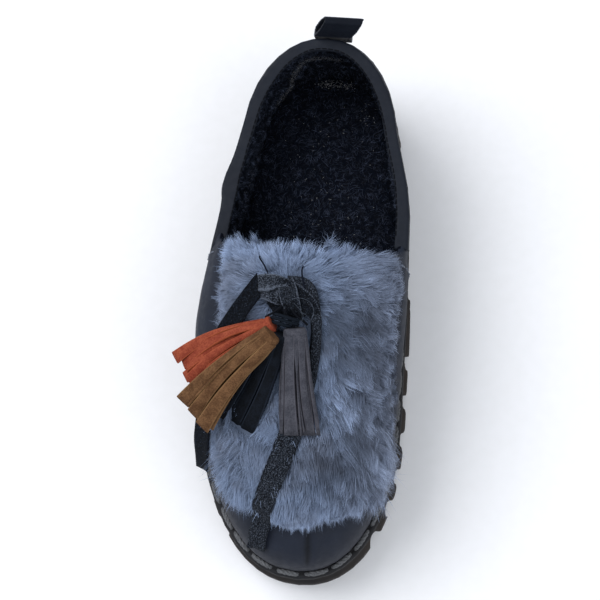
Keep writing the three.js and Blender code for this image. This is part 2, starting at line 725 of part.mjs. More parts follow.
function ribbonBow(extra, raise = 0) {
  const size = { width: RIBBON_WIDTH + extra, thick: RIBBON_THICKNESS + extra };
  const sized = (samples) => samples.map((s) => ({ ...s, ...size }));
  const tail = strap(sized(laid(OUTER_TAIL, TAIL_STEPS, raise)));
  const under = laid(TOE_LOOP, LOOP_STEPS, raise);
  const over = laid(TOE_LOOP, LOOP_STEPS, raise + LAYER.rise, LAYER.shift);
  const end = under.at(-1);
  const fold = {
    at: end.at.clone().lerp(over.at(-1).at, 0.5).addScaledVector(end.ahead, LAYER.foldReach),
    side: end.side,
    out: end.ahead.clone().negate(),
  };
  const back = over.toReversed().map((s) => ({ ...s, out: s.out.clone().negate() }));
  const loop = strap(sized([...under, fold, ...back]));
  const bands = [KNOT_BAND, KNOT_WRAP].map((route) => strap(sized(laid(route, KNOT_STEPS, raise))));
  const above = place(KNOT_CORE.fromHeel, KNOT_CORE.across, KNOT_CORE.height);
  const seat = drape(above, GAP + KNOT_CORE.lift + raise);
  const core = new THREE.SphereGeometry(1, KNOT_SEGMENTS.around, KNOT_SEGMENTS.high);
  core.scale(KNOT_CORE.wide + extra, KNOT_CORE.long + extra, KNOT_CORE.high + extra);
  core.translate(seat.at.x, seat.at.y, seat.at.z);
  return fuse([tail, loop, ...bands, solidOf(core)]);
}

// Tassels: a rolled head with strips of suede fused on, in two layers that fan out.
const TASSELS = [
  {
    name: "tassel_grey",
    head: { fromHeel: 152, across: -2, height: 97 },
    tip: { fromHeel: 200, across: 3, height: 80 },
    spread: 0.14,
  },
  {
    name: "tassel_brown",
    head: { fromHeel: 153, across: -13.5, height: 101 },
    tip: { fromHeel: 189, across: -46, height: 83 },
    spread: 0.22,
  },
  {
    name: "tassel_black",
    head: { fromHeel: 157, across: -10.5, height: 95 },
    tip: { fromHeel: 196, across: -25.5, height: 77 },
    spread: 0.15,
  },
  {
    name: "tassel_orange",
    head: { fromHeel: 147.5, across: -16, height: 96.5 },
    tip: { fromHeel: 173, across: -58, height: 80.5 },
    spread: 0.18,
  },
];
const TASSEL_HEAD = { length: 13, narrow: 4.6, broad: 6.4, flatness: 0.7, sides: 8 };
const STRIPS = 7;
const STRIP_STEPS = 3;
const STRIP = { from: 5, narrow: 3.2, broad: 4.8, thick: 1.7, layer: 1.2, sag: 1.5, uneven: 1.1 };

function tassel({ head, tip, spread }, extra) {
  const start = place(head.fromHeel, head.across, head.height);
  const ahead = place(tip.fromHeel, tip.across, tip.height).sub(start).normalize();
  const side = new THREE.Vector3(0, 0, 1).cross(ahead).normalize();
  const out = ahead.clone().cross(side);
  const { length, narrow, broad, flatness, sides } = TASSEL_HEAD;
  const roll = new THREE.CylinderGeometry(narrow + extra, broad + extra, length + extra, sides);
  roll.translate(0, -length / 2, 0).scale(1, 1, flatness);
  roll.applyMatrix4(new THREE.Matrix4().makeBasis(side, ahead.clone().negate(), out).setPosition(start));
  const strips = [];
  for (let k = 0; k < STRIPS; k++) {
    const angle = lerp(-spread, spread, k / (STRIPS - 1));
    const layer = k % 2 ? -STRIP.layer : STRIP.layer;
    const reach = TASSEL_LENGTH - STRIP.uneven * (k % 3) + extra;
    const samples = [];
    for (let s = 0; s <= STRIP_STEPS; s++) {
      const share = s / STRIP_STEPS;
      const run = lerp(STRIP.from, reach, share);
      const at = start
        .clone()
        .addScaledVector(ahead, run * Math.cos(angle))
        .addScaledVector(side, run * Math.sin(angle))
        .addScaledVector(out, layer - STRIP.sag * share ** 2);
      const width = lerp(STRIP.narrow, STRIP.broad, share) + extra;
      samples.push({ at, side, out, width, thick: STRIP.thick + extra });
    }
    strips.push(strap(samples));
  }
  return fuse([solidOf(roll), ...strips]);
}

// What lies lower is cut clear of what lies on it: tassels over tassels, over the bow, over the pelt.
// The pelt is also cleared of the hair that would rise through the bow.
const CLEAR = 2 * GAP;
const HAIR_CLEAR = 1.4;
function underTassels(made, above) {
  return above.reduce((left, spec) => left.subtract(tassel(spec, CLEAR)), made);
}
const bow = clean(underTassels(ribbonBow(0), TASSELS));
const pileWithLocks = furBody().add(furLocks());
const underBow = pileWithLocks.subtract(ribbonBow(CLEAR)).subtract(ribbonBow(CLEAR, HAIR_CLEAR));
const furCover = clean(underTassels(underBow, TASSELS));
const tassels = TASSELS.map((spec, i) => ({
  name: spec.name,
  made: clean(underTassels(tassel(spec, 0), TASSELS.slice(0, i))),
}));

// Colours and finishes.
const MATERIALS = {
  rubber: new THREE.MeshStandardMaterial({ color: 0x1d1c1d, roughness: 0.75 }),
  leather: new THREE.MeshStandardMaterial({ color: 0x23252c, roughness: 0.6 }),
  plush: new THREE.MeshStandardMaterial({ color: 0x11131a, roughness: 1 }),
  binding: new THREE.MeshStandardMaterial({ color: 0x191b21, roughness: 0.55 }),
  fur: new THREE.MeshStandardMaterial({ color: 0x5d6a80, roughness: 1 }),
  velvet: new THREE.MeshStandardMaterial({ color: 0x12151b, roughness: 1 }),
  tassel_grey: new THREE.MeshStandardMaterial({ color: 0x5c5b60, roughness: 0.9 }),
  tassel_brown: new THREE.MeshStandardMaterial({ color: 0x7a5330, roughness: 0.9 }),
  tassel_black: new THREE.MeshStandardMaterial({ color: 0x10131a, roughness: 0.9 }),
  tassel_orange: new THREE.MeshStandardMaterial({ color: 0xb5482c, roughness: 0.9 }),
};

const shoe = new THREE.Group();
function piece(name, made, material) {
  const { vertProperties, triVerts } = made.getMesh();
  const geometry = new THREE.BufferGeometry()
    .setAttribute("position", new THREE.BufferAttribute(vertProperties, 3))
    .setIndex(new THREE.BufferAttribute(triVerts, 1));
  geometry.computeVertexNormals();
  const mesh = new THREE.Mesh(geometry, material);
  mesh.name = name;
  shoe.add(mesh);
}

piece("outsole", outsole, MATERIALS.rubber);
piece("welt", welt, MATERIALS.leather);
piece("insole", insole, MATERIALS.plush);
piece("upper", upper, MATERIALS.leather);
piece("collar_binding", collarBinding, MATERIALS.binding);
piece("pull_loop", pullLoop, MATERIALS.binding);
piece("fur_cover", furCover, MATERIALS.fur);
piece("ribbon_bow", bow, MATERIALS.velvet);
tassels.forEach(({ name, made }) => piece(name, made, MATERIALS[name]));

export default shoe;
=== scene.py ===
"""Looks of a fur-fronted platform loafer for the right foot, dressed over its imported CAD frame.

Everything is in metres in the frame's own axes: +Z up, +Y towards the heel, +X towards the inner side.
"""
import json
import math
import random

import bpy
import numpy as np
from mathutils import Matrix, Vector, noise
from mathutils.bvhtree import BVHTree
from mathutils.kdtree import KDTree

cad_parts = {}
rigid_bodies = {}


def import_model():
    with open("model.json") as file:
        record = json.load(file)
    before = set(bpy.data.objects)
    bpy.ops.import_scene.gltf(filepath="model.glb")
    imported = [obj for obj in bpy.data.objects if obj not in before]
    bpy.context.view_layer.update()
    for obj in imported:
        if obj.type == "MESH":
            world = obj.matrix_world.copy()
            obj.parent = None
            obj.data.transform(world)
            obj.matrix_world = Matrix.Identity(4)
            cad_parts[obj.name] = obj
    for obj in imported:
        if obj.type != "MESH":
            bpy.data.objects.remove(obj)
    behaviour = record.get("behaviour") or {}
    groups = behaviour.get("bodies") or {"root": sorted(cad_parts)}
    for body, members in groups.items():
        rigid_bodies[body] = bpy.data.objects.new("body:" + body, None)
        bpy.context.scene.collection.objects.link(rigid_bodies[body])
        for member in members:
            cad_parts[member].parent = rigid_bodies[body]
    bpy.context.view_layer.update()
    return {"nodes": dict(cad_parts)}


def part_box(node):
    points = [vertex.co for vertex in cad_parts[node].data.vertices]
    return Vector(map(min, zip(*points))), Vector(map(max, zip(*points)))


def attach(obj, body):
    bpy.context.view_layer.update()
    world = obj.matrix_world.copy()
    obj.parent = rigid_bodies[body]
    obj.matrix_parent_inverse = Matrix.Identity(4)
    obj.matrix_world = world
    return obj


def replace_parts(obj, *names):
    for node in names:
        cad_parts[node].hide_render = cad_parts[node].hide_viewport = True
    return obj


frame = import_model()

MM = 0.001
HEEL_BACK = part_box("outsole")[1][1]
AXIS_X = 6.8 * MM
FOOT_HEIGHT = 52 * MM
SEED = 11
rng = np.random.default_rng(SEED)
random.seed(SEED)


def at(from_heel, across, height):
    """A point given in millimetres from the heel's back, across from the heel's middle line, and up."""
    return Vector((AXIS_X + across * MM, HEEL_BACK - from_heel * MM, height * MM))


def from_heel_of(points):
    """How far each of many points lies from the heel's back, in millimetres."""
    return (HEEL_BACK - points[:, 1]) / MM


def place_on_shoe(point):
    """One point's distances from the heel's back and across from the middle line, in millimetres."""
    return (HEEL_BACK - point.y) / MM, (point.x - AXIS_X) / MM


# Camera, light and floor

CAMERA_AT = Vector((63.4, -159.5, 760.2)) * MM
AIM_AT = Vector((-1.0, 7.4, 30.0)) * MM
CAMERA_TILT = {"azimuth": math.radians(4.4), "elevation": math.radians(76.8)}
LENS_MM = 90
SENSOR_MM = 36
NEAREST = 0.01
FLOOR_SIZE = 6.0
LIGHTS = [
    {"name": "key", "place": (-0.65, 0.25, 1.15), "size": 0.9, "energy": 13.5, "colour": "#f5f7ff"},
    {"name": "fill", "place": (0.75, -0.55, 1.1), "size": 1.2, "energy": 7, "colour": "#eef3ff"},
]
SKY = {"colour": "#e9eef6", "strength": 0.62}


def add_camera():
    """The photograph's place and lens, aimed at this one shoe."""
    azimuth, elevation = CAMERA_TILT["azimuth"], CAMERA_TILT["elevation"]
    up = Vector(
        (
            -math.sin(azimuth) * math.sin(elevation),
            math.cos(azimuth) * math.sin(elevation),
            math.cos(elevation),
        )
    )
    back = (CAMERA_AT - AIM_AT).normalized()
    right = up.cross(back).normalized()
    turn = Matrix((right, back.cross(right), back)).transposed().to_4x4()
    data = bpy.data.cameras.new("camera")
    data.lens = LENS_MM
    data.sensor_width = SENSOR_MM
    data.clip_start = NEAREST
    camera = bpy.data.objects.new("camera", data)
    camera.matrix_world = Matrix.Translation(CAMERA_AT) @ turn
    bpy.context.collection.objects.link(camera)
    bpy.context.scene.camera = camera


def add_area_light(name, place, size, energy, colour):
    """A square soft light aimed at the shoe."""
    data = bpy.data.lights.new(name, "AREA")
    data.size = size
    data.energy = energy
    data.color = linear(colour)[:3]
    lamp = bpy.data.objects.new(name, data)
    lamp.location = place
    lamp.rotation_euler = (Vector(place) - AIM_AT).to_track_quat("Z", "Y").to_euler()
    bpy.context.collection.objects.link(lamp)


def add_studio():
    """Soft cool daylight from the outer side and above, a weaker fill, and a plain pale floor."""
    for light in LIGHTS:
        add_area_light(**light)
    world = bpy.data.worlds.new("studio")
    world.use_nodes = True
    sky = world.node_tree.nodes["Background"]
    sky.inputs["Color"].default_value = linear(SKY["colour"])
    sky.inputs["Strength"].default_value = SKY["strength"]
    bpy.context.scene.world = world
    bpy.context.scene.view_settings.view_transform = "Standard"
    bpy.ops.mesh.primitive_plane_add(size=FLOOR_SIZE)
    floor = bpy.context.object
    floor.name = "floor"
    floor.data.materials.append(paper())


# Material tools

def linear(code):
    """An sRGB hex colour as linear RGBA."""
    parts = [int(code[i : i + 2], 16) / 255 for i in (1, 3, 5)]
    return (*[p / 12.92 if p <= 0.04045 else ((p + 0.055) / 1.055) ** 2.4 for p in parts], 1.0)


def add(tree, kind, inputs=None, **settings):
    """Adds one shader node, with its settings and with each input set to a value or linked."""
    made = tree.nodes.new("ShaderNode" + kind)
    for name, value in settings.items():
        setattr(made, name, value)
    for key, value in (inputs or {}).items():
        if isinstance(value, bpy.types.NodeSocket):
            tree.links.new(value, made.inputs[key])
        else:
            made.inputs[key].default_value = value
    return made


def new_material(name):
    """A material's tree, its shader and the object's own coordinates."""
    made = bpy.data.materials.new(name)
    made.use_nodes = True
    tree = made.node_tree
    place = add(tree, "TexCoord").outputs["Object"]
    return made, tree, tree.nodes["Principled BSDF"], place


def per_mm(size):
    """A texture's scale for features of that many millimetres, on coordinates in metres."""
    return 1 / (size * MM)


# Materials
#
# Sockets that share a name go by number. A colour Mix has its share at 0, its two colours at 6 and 7 and its
# result at 2. A MapRange has its value at 0, the old range at 1 and 2, and the new one at 3 and 4.

def paper():
    """Matt white background paper: even and shadow soft."""
    made, tree, shader, place = new_material("background_paper")
    grain = add(tree, "TexNoise", {"Vector": place, "Scale": per_mm(6)}).outputs["Fac"]
    tint = add(
        tree, "Mix", {0: grain, 6: linear("#f3f2ef"), 7: linear("#f8f7f5")}, data_type="RGBA"
    ).outputs[2]
    tree.links.new(tint, shader.inputs["Base Color"])
    shader.inputs["Roughness"].default_value = 0.95
    return made


def leather(name, dark, pale, rough, grain_mm, dust):
    """Dyed cow leather, plated matt: fine pebbled grain, dull broad highlights, dust low down, painted shade
    in the creases.
    """
    made, tree, shader, place = new_material(name)
    cloud = add(tree, "TexNoise", {"Vector": place, "Scale": per_mm(14), "Detail": 4}).outputs["Fac"]
    body = add(
        tree, "Mix", {0: cloud, 6: linear(dark), 7: linear(pale)}, data_type="RGBA"
    ).outputs[2]
    height = add(tree, "SeparateXYZ", {0: place}).outputs["Z"]
    low = add(
        tree, "MapRange", {0: height, 1: 52 * MM, 2: 24 * MM, 3: 0.0, 4: dust}
    ).outputs[0]
    specks = add(tree, "TexNoise", {"Vector": place, "Scale": per_mm(3), "Detail": 6}).outputs["Fac"]
    settled = add(tree, "Math", {0: low, 1: specks}, operation="MULTIPLY").outputs[0]
    coloured = add(
        tree, "Mix", {0: settled, 6: body, 7: linear("#4d4741")}, data_type="RGBA"
    ).outputs[2]
    # Painted shade: the crease attribute darkens the leather towards #0a0c10 in the troughs of the creases.
    painted_crease_shade = add(tree, "Attribute", attribute_name="crease").outputs["Fac"]
    folded = add(tree, "Mix", {0: painted_crease_shade, 6: coloured, 7: linear("#0a0c10")}, data_type="RGBA").outputs[2]
    tree.links.new(folded, shader.inputs["Base Color"])
    pebble = add(tree, "TexVoronoi", {"Vector": place, "Scale": per_mm(grain_mm)}).outputs["Distance"]
    soft = add(tree, "TexNoise", {"Vector": place, "Scale": per_mm(9), "Detail": 3}).outputs["Fac"]
    relief = add(tree, "Math", {0: soft, 1: 2.0, 2: pebble}, operation="MULTIPLY_ADD").outputs[0]
    bump = add(tree, "Bump", {"Height": relief, "Strength": 0.35, "Distance": 0.12 * MM}).outputs[0]
    tree.links.new(bump, shader.inputs["Normal"])
    gloss = add(
        tree, "MapRange", {0: specks, 1: 0.3, 2: 0.7, 3: rough - 0.06, 4: rough + 0.1}
    ).outputs[0]
    tree.links.new(gloss, shader.inputs["Roughness"])
    shader.inputs["IOR"].default_value = 1.48
    shader.inputs["Specular IOR Level"].default_value = 0.22
    return made


def plush(name, base, sheen):
    """Knitted acrylic pile: nearly black in its depth, with a faint bluish sheen on the tips."""
    made, tree, shader, place = new_material(name)
    tuft = add(tree, "TexNoise", {"Vector": place, "Scale": per_mm(1.6), "Detail": 5}).outputs["Fac"]
    colour = add(
        tree, "Mix", {0: tuft, 6: linear(base), 7: linear(sheen)}, data_type="RGBA"
    ).outputs[2]
    tree.links.new(colour, shader.inputs["Base Color"])
    bump = add(tree, "Bump", {"Height": tuft, "Strength": 0.9, "Distance": 0.8 * MM}).outputs[0]
    tree.links.new(bump, shader.inputs["Normal"])
    shader.inputs["Roughness"].default_value = 0.95
    shader.inputs["Specular IOR Level"].default_value = 0.05
    shader.inputs["Sheen Weight"].default_value = 0.04
    shader.inputs["Sheen Roughness"].default_value = 0.45
    shader.inputs["Sheen Tint"].default_value = linear("#7f8ba3")
    return made


def rubber():
    """Moulded black rubber that has been walked in: matt, with brown dust on the lugs and edges."""
    made, tree, shader, place = new_material("moulded_rubber")
    dirt = add(tree, "TexNoise", {"Vector": place, "Scale": per_mm(11), "Detail": 8}).outputs["Fac"]
    height = add(tree, "SeparateXYZ", {0: place}).outputs["Z"]
    low = add(tree, "MapRange", {0: height, 1: 20 * MM, 2: 2 * MM, 3: 0.25, 4: 0.75}).outputs[0]
    share = add(tree, "Math", {0: low, 1: dirt}, operation="MULTIPLY").outputs[0]
    colour = add(
        tree, "Mix", {0: share, 6: linear("#121316"), 7: linear("#4d4136")}, data_type="RGBA"
    ).outputs[2]
    tree.links.new(colour, shader.inputs["Base Color"])
    grit = add(tree, "TexNoise", {"Vector": place, "Scale": per_mm(0.9), "Detail": 3}).outputs["Fac"]
    bump = add(tree, "Bump", {"Height": grit, "Strength": 0.3, "Distance": 0.15 * MM}).outputs[0]
    tree.links.new(bump, shader.inputs["Normal"])
    shader.inputs["Roughness"].default_value = 0.78
    shader.inputs["Specular IOR Level"].default_value = 0.25
    return made


def fur():
    """Dyed rabbit hair: blue-grey, silvery at the tips, brownish inwards, with painted shade at the roots
    that darkens the partings between locks.
    """
    made, tree, shader, place = new_material("rabbit_hair")
    along = add(tree, "Attribute", attribute_name="tint").outputs["Fac"]
    patch = add(tree, "TexNoise", {"Vector": place, "Scale": per_mm(22), "Detail": 3}).outputs["Fac"]
    across = add(tree, "SeparateXYZ", {0: place}).outputs["X"]
    inner = add(tree, "MapRange", {0: across, 1: 16 * MM, 2: 52 * MM, 3: 0.0, 4: 0.6}).outputs[0]
    patchy = add(tree, "MapRange", {0: patch, 1: 0.48, 2: 0.72, 3: 0.0, 4: 0.5}).outputs[0]
    warm = add(tree, "Math", {0: inner, 1: patchy}, operation="MAXIMUM").outputs[0]
    tip = add(
        tree, "Mix", {0: warm, 6: linear("#b3c9ec"), 7: linear("#999eac")}, data_type="RGBA"
    ).outputs[2]
    root = add(
        tree, "Mix", {0: warm, 6: linear("#273140"), 7: linear("#2a282d")}, data_type="RGBA"
    ).outputs[2]
    # The tint attribute runs from the dark root colour, painted shade deep between the locks, to the tips'
    # own colour.
    colour = add(tree, "Mix", {0: along, 6: root, 7: tip}, data_type="RGBA").outputs[2]
    tree.links.new(colour, shader.inputs["Base Color"])
    shader.inputs["Roughness"].default_value = 0.6
    shader.inputs["Specular IOR Level"].default_value = 0.3
    return made


def velvet():
    """Cut-pile velvet ribbon: blue-black with painted sheen where the pile catches light, dotted with grey
    lint, with painted highlights on the pleats and edges.
    """
    made, tree, shader, place = new_material("velvet_ribbon")
    pile = add(tree, "TexNoise", {"Vector": place, "Scale": per_mm(0.9), "Detail": 8}).outputs["Fac"]
    # Painted sheen: the pile's noise lightens the velvet towards #121821 where it would catch light.
    rubbed = add(tree, "MapRange", {0: pile, 1: 0.42, 2: 0.72, 3: 0.0, 4: 1.0}).outputs[0]
    colour = add(
        tree, "Mix", {0: rubbed, 6: linear("#030509"), 7: linear("#121821")}, data_type="RGBA"
    ).outputs[2]
    fluff = add(tree, "TexNoise", {"Vector": place, "Scale": per_mm(0.45), "Detail": 3}).outputs["Fac"]
    # The lint attribute holds real lint and the painted highlights along the pleats and the pleated strips'
    # edges; both are painted towards #5b626d.
    caught = add(tree, "Attribute", attribute_name="lint").outputs["Fac"]
    amount = add(tree, "Math", {0: caught, 1: 0.24, 2: fluff}, operation="MULTIPLY_ADD").outputs[0]
    lint = add(tree, "MapRange", {0: amount, 1: 0.62, 2: 0.86, 3: 0.0, 4: 0.85}).outputs[0]
    dotted = add(tree, "Mix", {0: lint, 6: colour, 7: linear("#5b626d")}, data_type="RGBA").outputs[2]
    tree.links.new(dotted, shader.inputs["Base Color"])
    bump = add(tree, "Bump", {"Height": pile, "Strength": 0.6, "Distance": 0.4 * MM}).outputs[0]
    tree.links.new(bump, shader.inputs["Normal"])
    shader.inputs["Roughness"].default_value = 0.95
    shader.inputs["Specular IOR Level"].default_value = 0.15
    shader.inputs["Sheen Weight"].default_value = 0.05
    shader.inputs["Sheen Roughness"].default_value = 0.35
    shader.inputs["Sheen Tint"].default_value = linear("#9aa3b2")
    return made


def suede(name, dark, pale, cut):
    """Split suede: short nap with rubbed lighter and darker streaks, and pale cut edges."""
    made, tree, shader, place = new_material(name)
    edge = add(tree, "Attribute", attribute_name="tint").outputs["Fac"]
    rub = add(tree, "TexNoise", {"Vector": place, "Scale": per_mm(5), "Detail": 6}).outputs["Fac"]
    nap = add(tree, "TexNoise", {"Vector": place, "Scale": per_mm(0.7), "Detail": 3}).outputs["Fac"]
    streak = add(tree, "Math", {0: rub, 1: nap}, operation="MULTIPLY").outputs[0]
    share = add(tree, "MapRange", {0: streak, 1: 0.15, 2: 0.36, 3: 0.0, 4: 1.0}).outputs[0]
    body = add(tree, "Mix", {0: share, 6: linear(dark), 7: linear(pale)}, data_type="RGBA").outputs[2]
    colour = add(tree, "Mix", {0: edge, 6: body, 7: linear(cut)}, data_type="RGBA").outputs[2]
    tree.links.new(colour, shader.inputs["Base Color"])
    bump = add(tree, "Bump", {"Height": nap, "Strength": 0.5, "Distance": 0.25 * MM}).outputs[0]
    tree.links.new(bump, shader.inputs["Normal"])
    shader.inputs["Roughness"].default_value = 0.92
    shader.inputs["Specular IOR Level"].default_value = 0.15
    shader.inputs["Sheen Weight"].default_value = 0.1
    shader.inputs["Sheen Tint"].default_value = linear(pale)
    return made


def yarn(name, dark, pale):
    """Twisted waxed thread: fibres make it mottled and dull."""
    made, tree, shader, place = new_material(name)
    fibre = add(tree, "TexNoise", {"Vector": place, "Scale": per_mm(0.8), "Detail": 4}).outputs["Fac"]
    colour = add(tree, "Mix", {0: fibre, 6: linear(dark), 7: linear(pale)}, data_type="RGBA").outputs[2]
    tree.links.new(colour, shader.inputs["Base Color"])
    bump = add(tree, "Bump", {"Height": fibre, "Strength": 0.5, "Distance": 0.2 * MM}).outputs[0]
    tree.links.new(bump, shader.inputs["Normal"])
    shader.inputs["Roughness"].default_value = 0.85
    shader.inputs["Specular IOR Level"].default_value = 0.12
    return made


# Modelling tools

MERGED = 0.01 * MM
TIP_WIDTH = 0.35


def select_only(obj):
    """Makes one object the selected and active one."""
    bpy.ops.object.select_all(action="DESELECT")
    obj.select_set(True)
    bpy.context.view_layer.objects.active = obj


def modify(obj, kind, **settings):
    """Adds one modifier and applies it."""
    select_only(obj)
    made = obj.modifiers.new(kind.lower(), kind)
    for key, value in settings.items():
        setattr(made, key, value)
    bpy.ops.object.modifier_apply(modifier=made.name)


def round_off(obj, voxel, rounds):
    """Rebuilds a mesh on an even grid and smooths its facets away."""
    modify(obj, "REMESH", mode="VOXEL", voxel_size=voxel)
    modify(obj, "SMOOTH", factor=0.5, iterations=rounds)


def copy_of(node, name):
    """A CAD node's shape as a new object, with its loose triangles merged."""
    mesh = frame["nodes"][node].data.copy()
    mesh.name = name
    mesh.materials.clear()
    made = bpy.data.objects.new(name, mesh)
    bpy.context.collection.objects.link(made)
    select_only(made)
    bpy.ops.object.mode_set(mode="EDIT")
    bpy.ops.mesh.select_all(action="SELECT")
    bpy.ops.mesh.remove_doubles(threshold=MERGED)
    bpy.ops.object.mode_set(mode="OBJECT")
    return made


def point_outwards(obj):
    """Turns all faces of a mesh to its outside."""
    select_only(obj)
    bpy.ops.object.mode_set(mode="EDIT")
    bpy.ops.mesh.select_all(action="SELECT")
    bpy.ops.mesh.normals_make_consistent(inside=False)
    bpy.ops.object.mode_set(mode="OBJECT")


def set_shade(obj, name, values):
    """Keeps one value for each vertex, for the material to read."""
    obj.data.attributes.new(name, "FLOAT", "POINT").data.foreach_set("value", np.ravel(values))


def finish_piece(obj, material, slot, *nodes):
    """Smooth shading, a material if it has none yet, and its place on the shoe."""
    select_only(obj)
    bpy.ops.object.shade_smooth()
    if material:
        obj.data.materials.append(material)
    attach(obj, "root")
    if nodes:
        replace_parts(obj, *nodes)
    return obj


def surface_of(*objects):
    """The faces of one or more meshes for ray casts and nearest points."""
    points, faces = [], []
    for obj in objects:
        first = len(points)
        points += [v.co.copy() for v in obj.data.vertices]
        faces += [tuple(first + i for i in p.vertices) for p in obj.data.polygons]
    return BVHTree.FromPolygons(points, faces)


def vertices_of(obj):
    """The points of a mesh as an array."""
    points = np.empty(3 * len(obj.data.vertices))
    obj.data.vertices.foreach_get("co", points)
    return points.reshape(-1, 3)


def normals_of(obj):
    """The smooth normals at the points of a mesh."""
    normals = np.empty(3 * len(obj.data.vertices))
    obj.data.vertices.foreach_get("normal", normals)
    return normals.reshape(-1, 3)


def move_vertices(obj, points):
    """Puts the points of a mesh in new places."""
    obj.data.vertices.foreach_set("co", points.ravel())
    obj.data.update()


def smoothstep(value, low, high):
    """0 up to low, 1 from high on, and a soft step between them."""
    share = np.clip((value - low) / (high - low), 0, 1)
    return share * share * (3 - 2 * share)


def mesh_object(name, points, triangles, tint=None):
    """An object from arrays of points and triangles, with an optional shade for each point."""
    mesh = bpy.data.meshes.new(name)
    mesh.vertices.add(len(points))
    mesh.vertices.foreach_set("co", np.ascontiguousarray(points, float).ravel())
    mesh.loops.add(3 * len(triangles))
    mesh.loops.foreach_set("vertex_index", np.ascontiguousarray(triangles, np.int32).ravel())
    mesh.polygons.add(len(triangles))
    mesh.polygons.foreach_set("loop_start", np.arange(0, 3 * len(triangles), 3, dtype=np.int32))
    mesh.update(calc_edges=True)
    made = bpy.data.objects.new(name, mesh)
    bpy.context.collection.objects.link(made)
    if tint is not None:
        set_shade(made, "tint", tint)
    return made


def strands(name, paths, sides, widths, shades):
    """Flat tapering hairs along paths of points, with their widths at the root, joined as one mesh."""
    count, steps, _ = paths.shape
    taper = np.linspace(1, TIP_WIDTH, steps - 1)[None, :, None]
    spread = sides[:, None, :] * (widths[:, None, None] / 2) * taper
    rows = np.concatenate([paths[:, :-1] - spread, paths[:, :-1] + spread, paths[:, -1:]], axis=1)
    last = steps - 1
    one = []
    for k in range(last - 1):
        one += [[k, last + k, last + k + 1], [k, last + k + 1, k + 1]]
    one.append([last - 1, 2 * last - 1, 2 * last])
    triangles = np.array(one)[None] + (np.arange(count) * (2 * last + 1))[:, None, None]
    tint = np.concatenate([shades[:, :-1], shades[:, :-1], shades[:, -1:]], axis=1)
    return mesh_object(name, rows.reshape(-1, 3), triangles.reshape(-1, 3), tint)


def scatter(obj, count, wanted=None):
    """Random places on a mesh with their smooth normals. wanted picks triangles by centre and normal."""
    mesh = obj.data
    mesh.calc_loop_triangles()
    corners = np.empty(3 * len(mesh.loop_triangles), np.int32)
    mesh.loop_triangles.foreach_get("vertices", corners)
    corners = corners.reshape(-1, 3)
    points = vertices_of(obj)[corners]
    normals = normals_of(obj)[corners]
    area = np.linalg.norm(np.cross(points[:, 1] - points[:, 0], points[:, 2] - points[:, 0]), axis=1)
    if wanted is not None:
        area = area * wanted(points.mean(axis=1), normals.mean(axis=1))
    chosen = rng.choice(len(area), count, p=area / area.sum())
    share = rng.dirichlet((1, 1, 1), count)[:, :, None]
    spots = (points[chosen] * share).sum(axis=1)
    facing = (normals[chosen] * share).sum(axis=1)
    return spots, facing / np.linalg.norm(facing, axis=1, keepdims=True)


def tubes(name, routes, radius, sides=6):
    """Round threads along routes of points, joined as one mesh, closed at both ends."""
    points = []
    triangles = []
    for route in routes:
        start = len(points)
        route = [Vector(p) for p in route]
        for k, p in enumerate(route):
            ahead = (route[min(k + 1, len(route) - 1)] - route[max(k - 1, 0)]).normalized()
            if k == 0:
                across = ahead.orthogonal().normalized()
            else:
                across = (across - ahead * across.dot(ahead)).normalized()
            over = ahead.cross(across)
            for s in range(sides):
                angle = 2 * math.pi * s / sides
                points.append(p + (across * math.cos(angle) + over * math.sin(angle)) * radius)
        for k in range(len(route) - 1):
            for s in range(sides):
                a = start + k * sides + s
                b = start + k * sides + (s + 1) % sides
                triangles += [[a, b, b + sides], [a, b + sides, a + sides]]
        end = start + (len(route) - 1) * sides
        for s in range(1, sides - 1):
            triangles += [[start, start + s + 1, start + s], [end, end + s, end + s + 1]]
    return mesh_object(name, np.array([tuple(p) for p in points]), np.array(triangles))


# Leather upper with its plush lining

UPPER = {"voxel": 1.25 * MM, "rounds": 24, "last_rounds": 2}
LOW_EDGE = {"from_heel": (0, 60, 125, 200, 264), "height": (37, 36, 30, 26.5, 34.5)}
KEPT_SHARP = {"seam": (2, 9), "low_edge": (1, 6)}
SEAM = {"low": 118.0, "high": 112.0, "top": 80.0}
CREASES = [
    {"ends": [(236, 8.0, 58), (260, 8.8, 41)], "width": 1.5, "depth": 1.4},
    {"ends": [(240, 11.0, 56), (259, 12.5, 41)], "width": 2.6, "depth": -0.5},
    {"ends": [(244, 17.0, 53), (257, 18.5, 41)], "width": 3.0, "depth": 0.4},
    {"ends": [(246, -3.0, 52), (258, -4.5, 40)], "width": 3.0, "depth": 0.4},
    {"ends": [(66, -43.0, 70), (92, -47.0, 66)], "width": 7.0, "depth": -2.2},
    {"ends": [(84, -46.0, 62), (104, -48.0, 50)], "width": 4.0, "depth": 0.7},
    {"ends": [(106, -48.0, 62), (114, -49.0, 46)], "width": 4.0, "depth": 0.6},
    {"ends": [(86, 42.0, 66), (108, 44.0, 54)], "width": 4.5, "depth": 0.8},
    {"ends": [(22, -30.0, 62), (40, -36.0, 50)], "width": 4.0, "depth": 0.6},
]
# darkest is how far the painted shade darkens the deepest crease trough.
CREASE = {"steps": 40, "reach": 3, "margin": 4 * MM, "runs_out": 0.08, "darkest": 0.8}
BAGGY = {
    "from_heel": 80, "reach": 9.0, "out": 1.7, "low": 48.0, "high": 70.0,
    "beyond": 20.0, "firm": 0.3, "walls": {"upper": 12.0, "binding": 4.5},
}
LONGEST = 300
FOOT_LINE = {"aside": 2 * MM, "toe": 205 * MM, "heel": 46 * MM}
WALL = {"clear": 0.2, "thickest": 6 * MM}


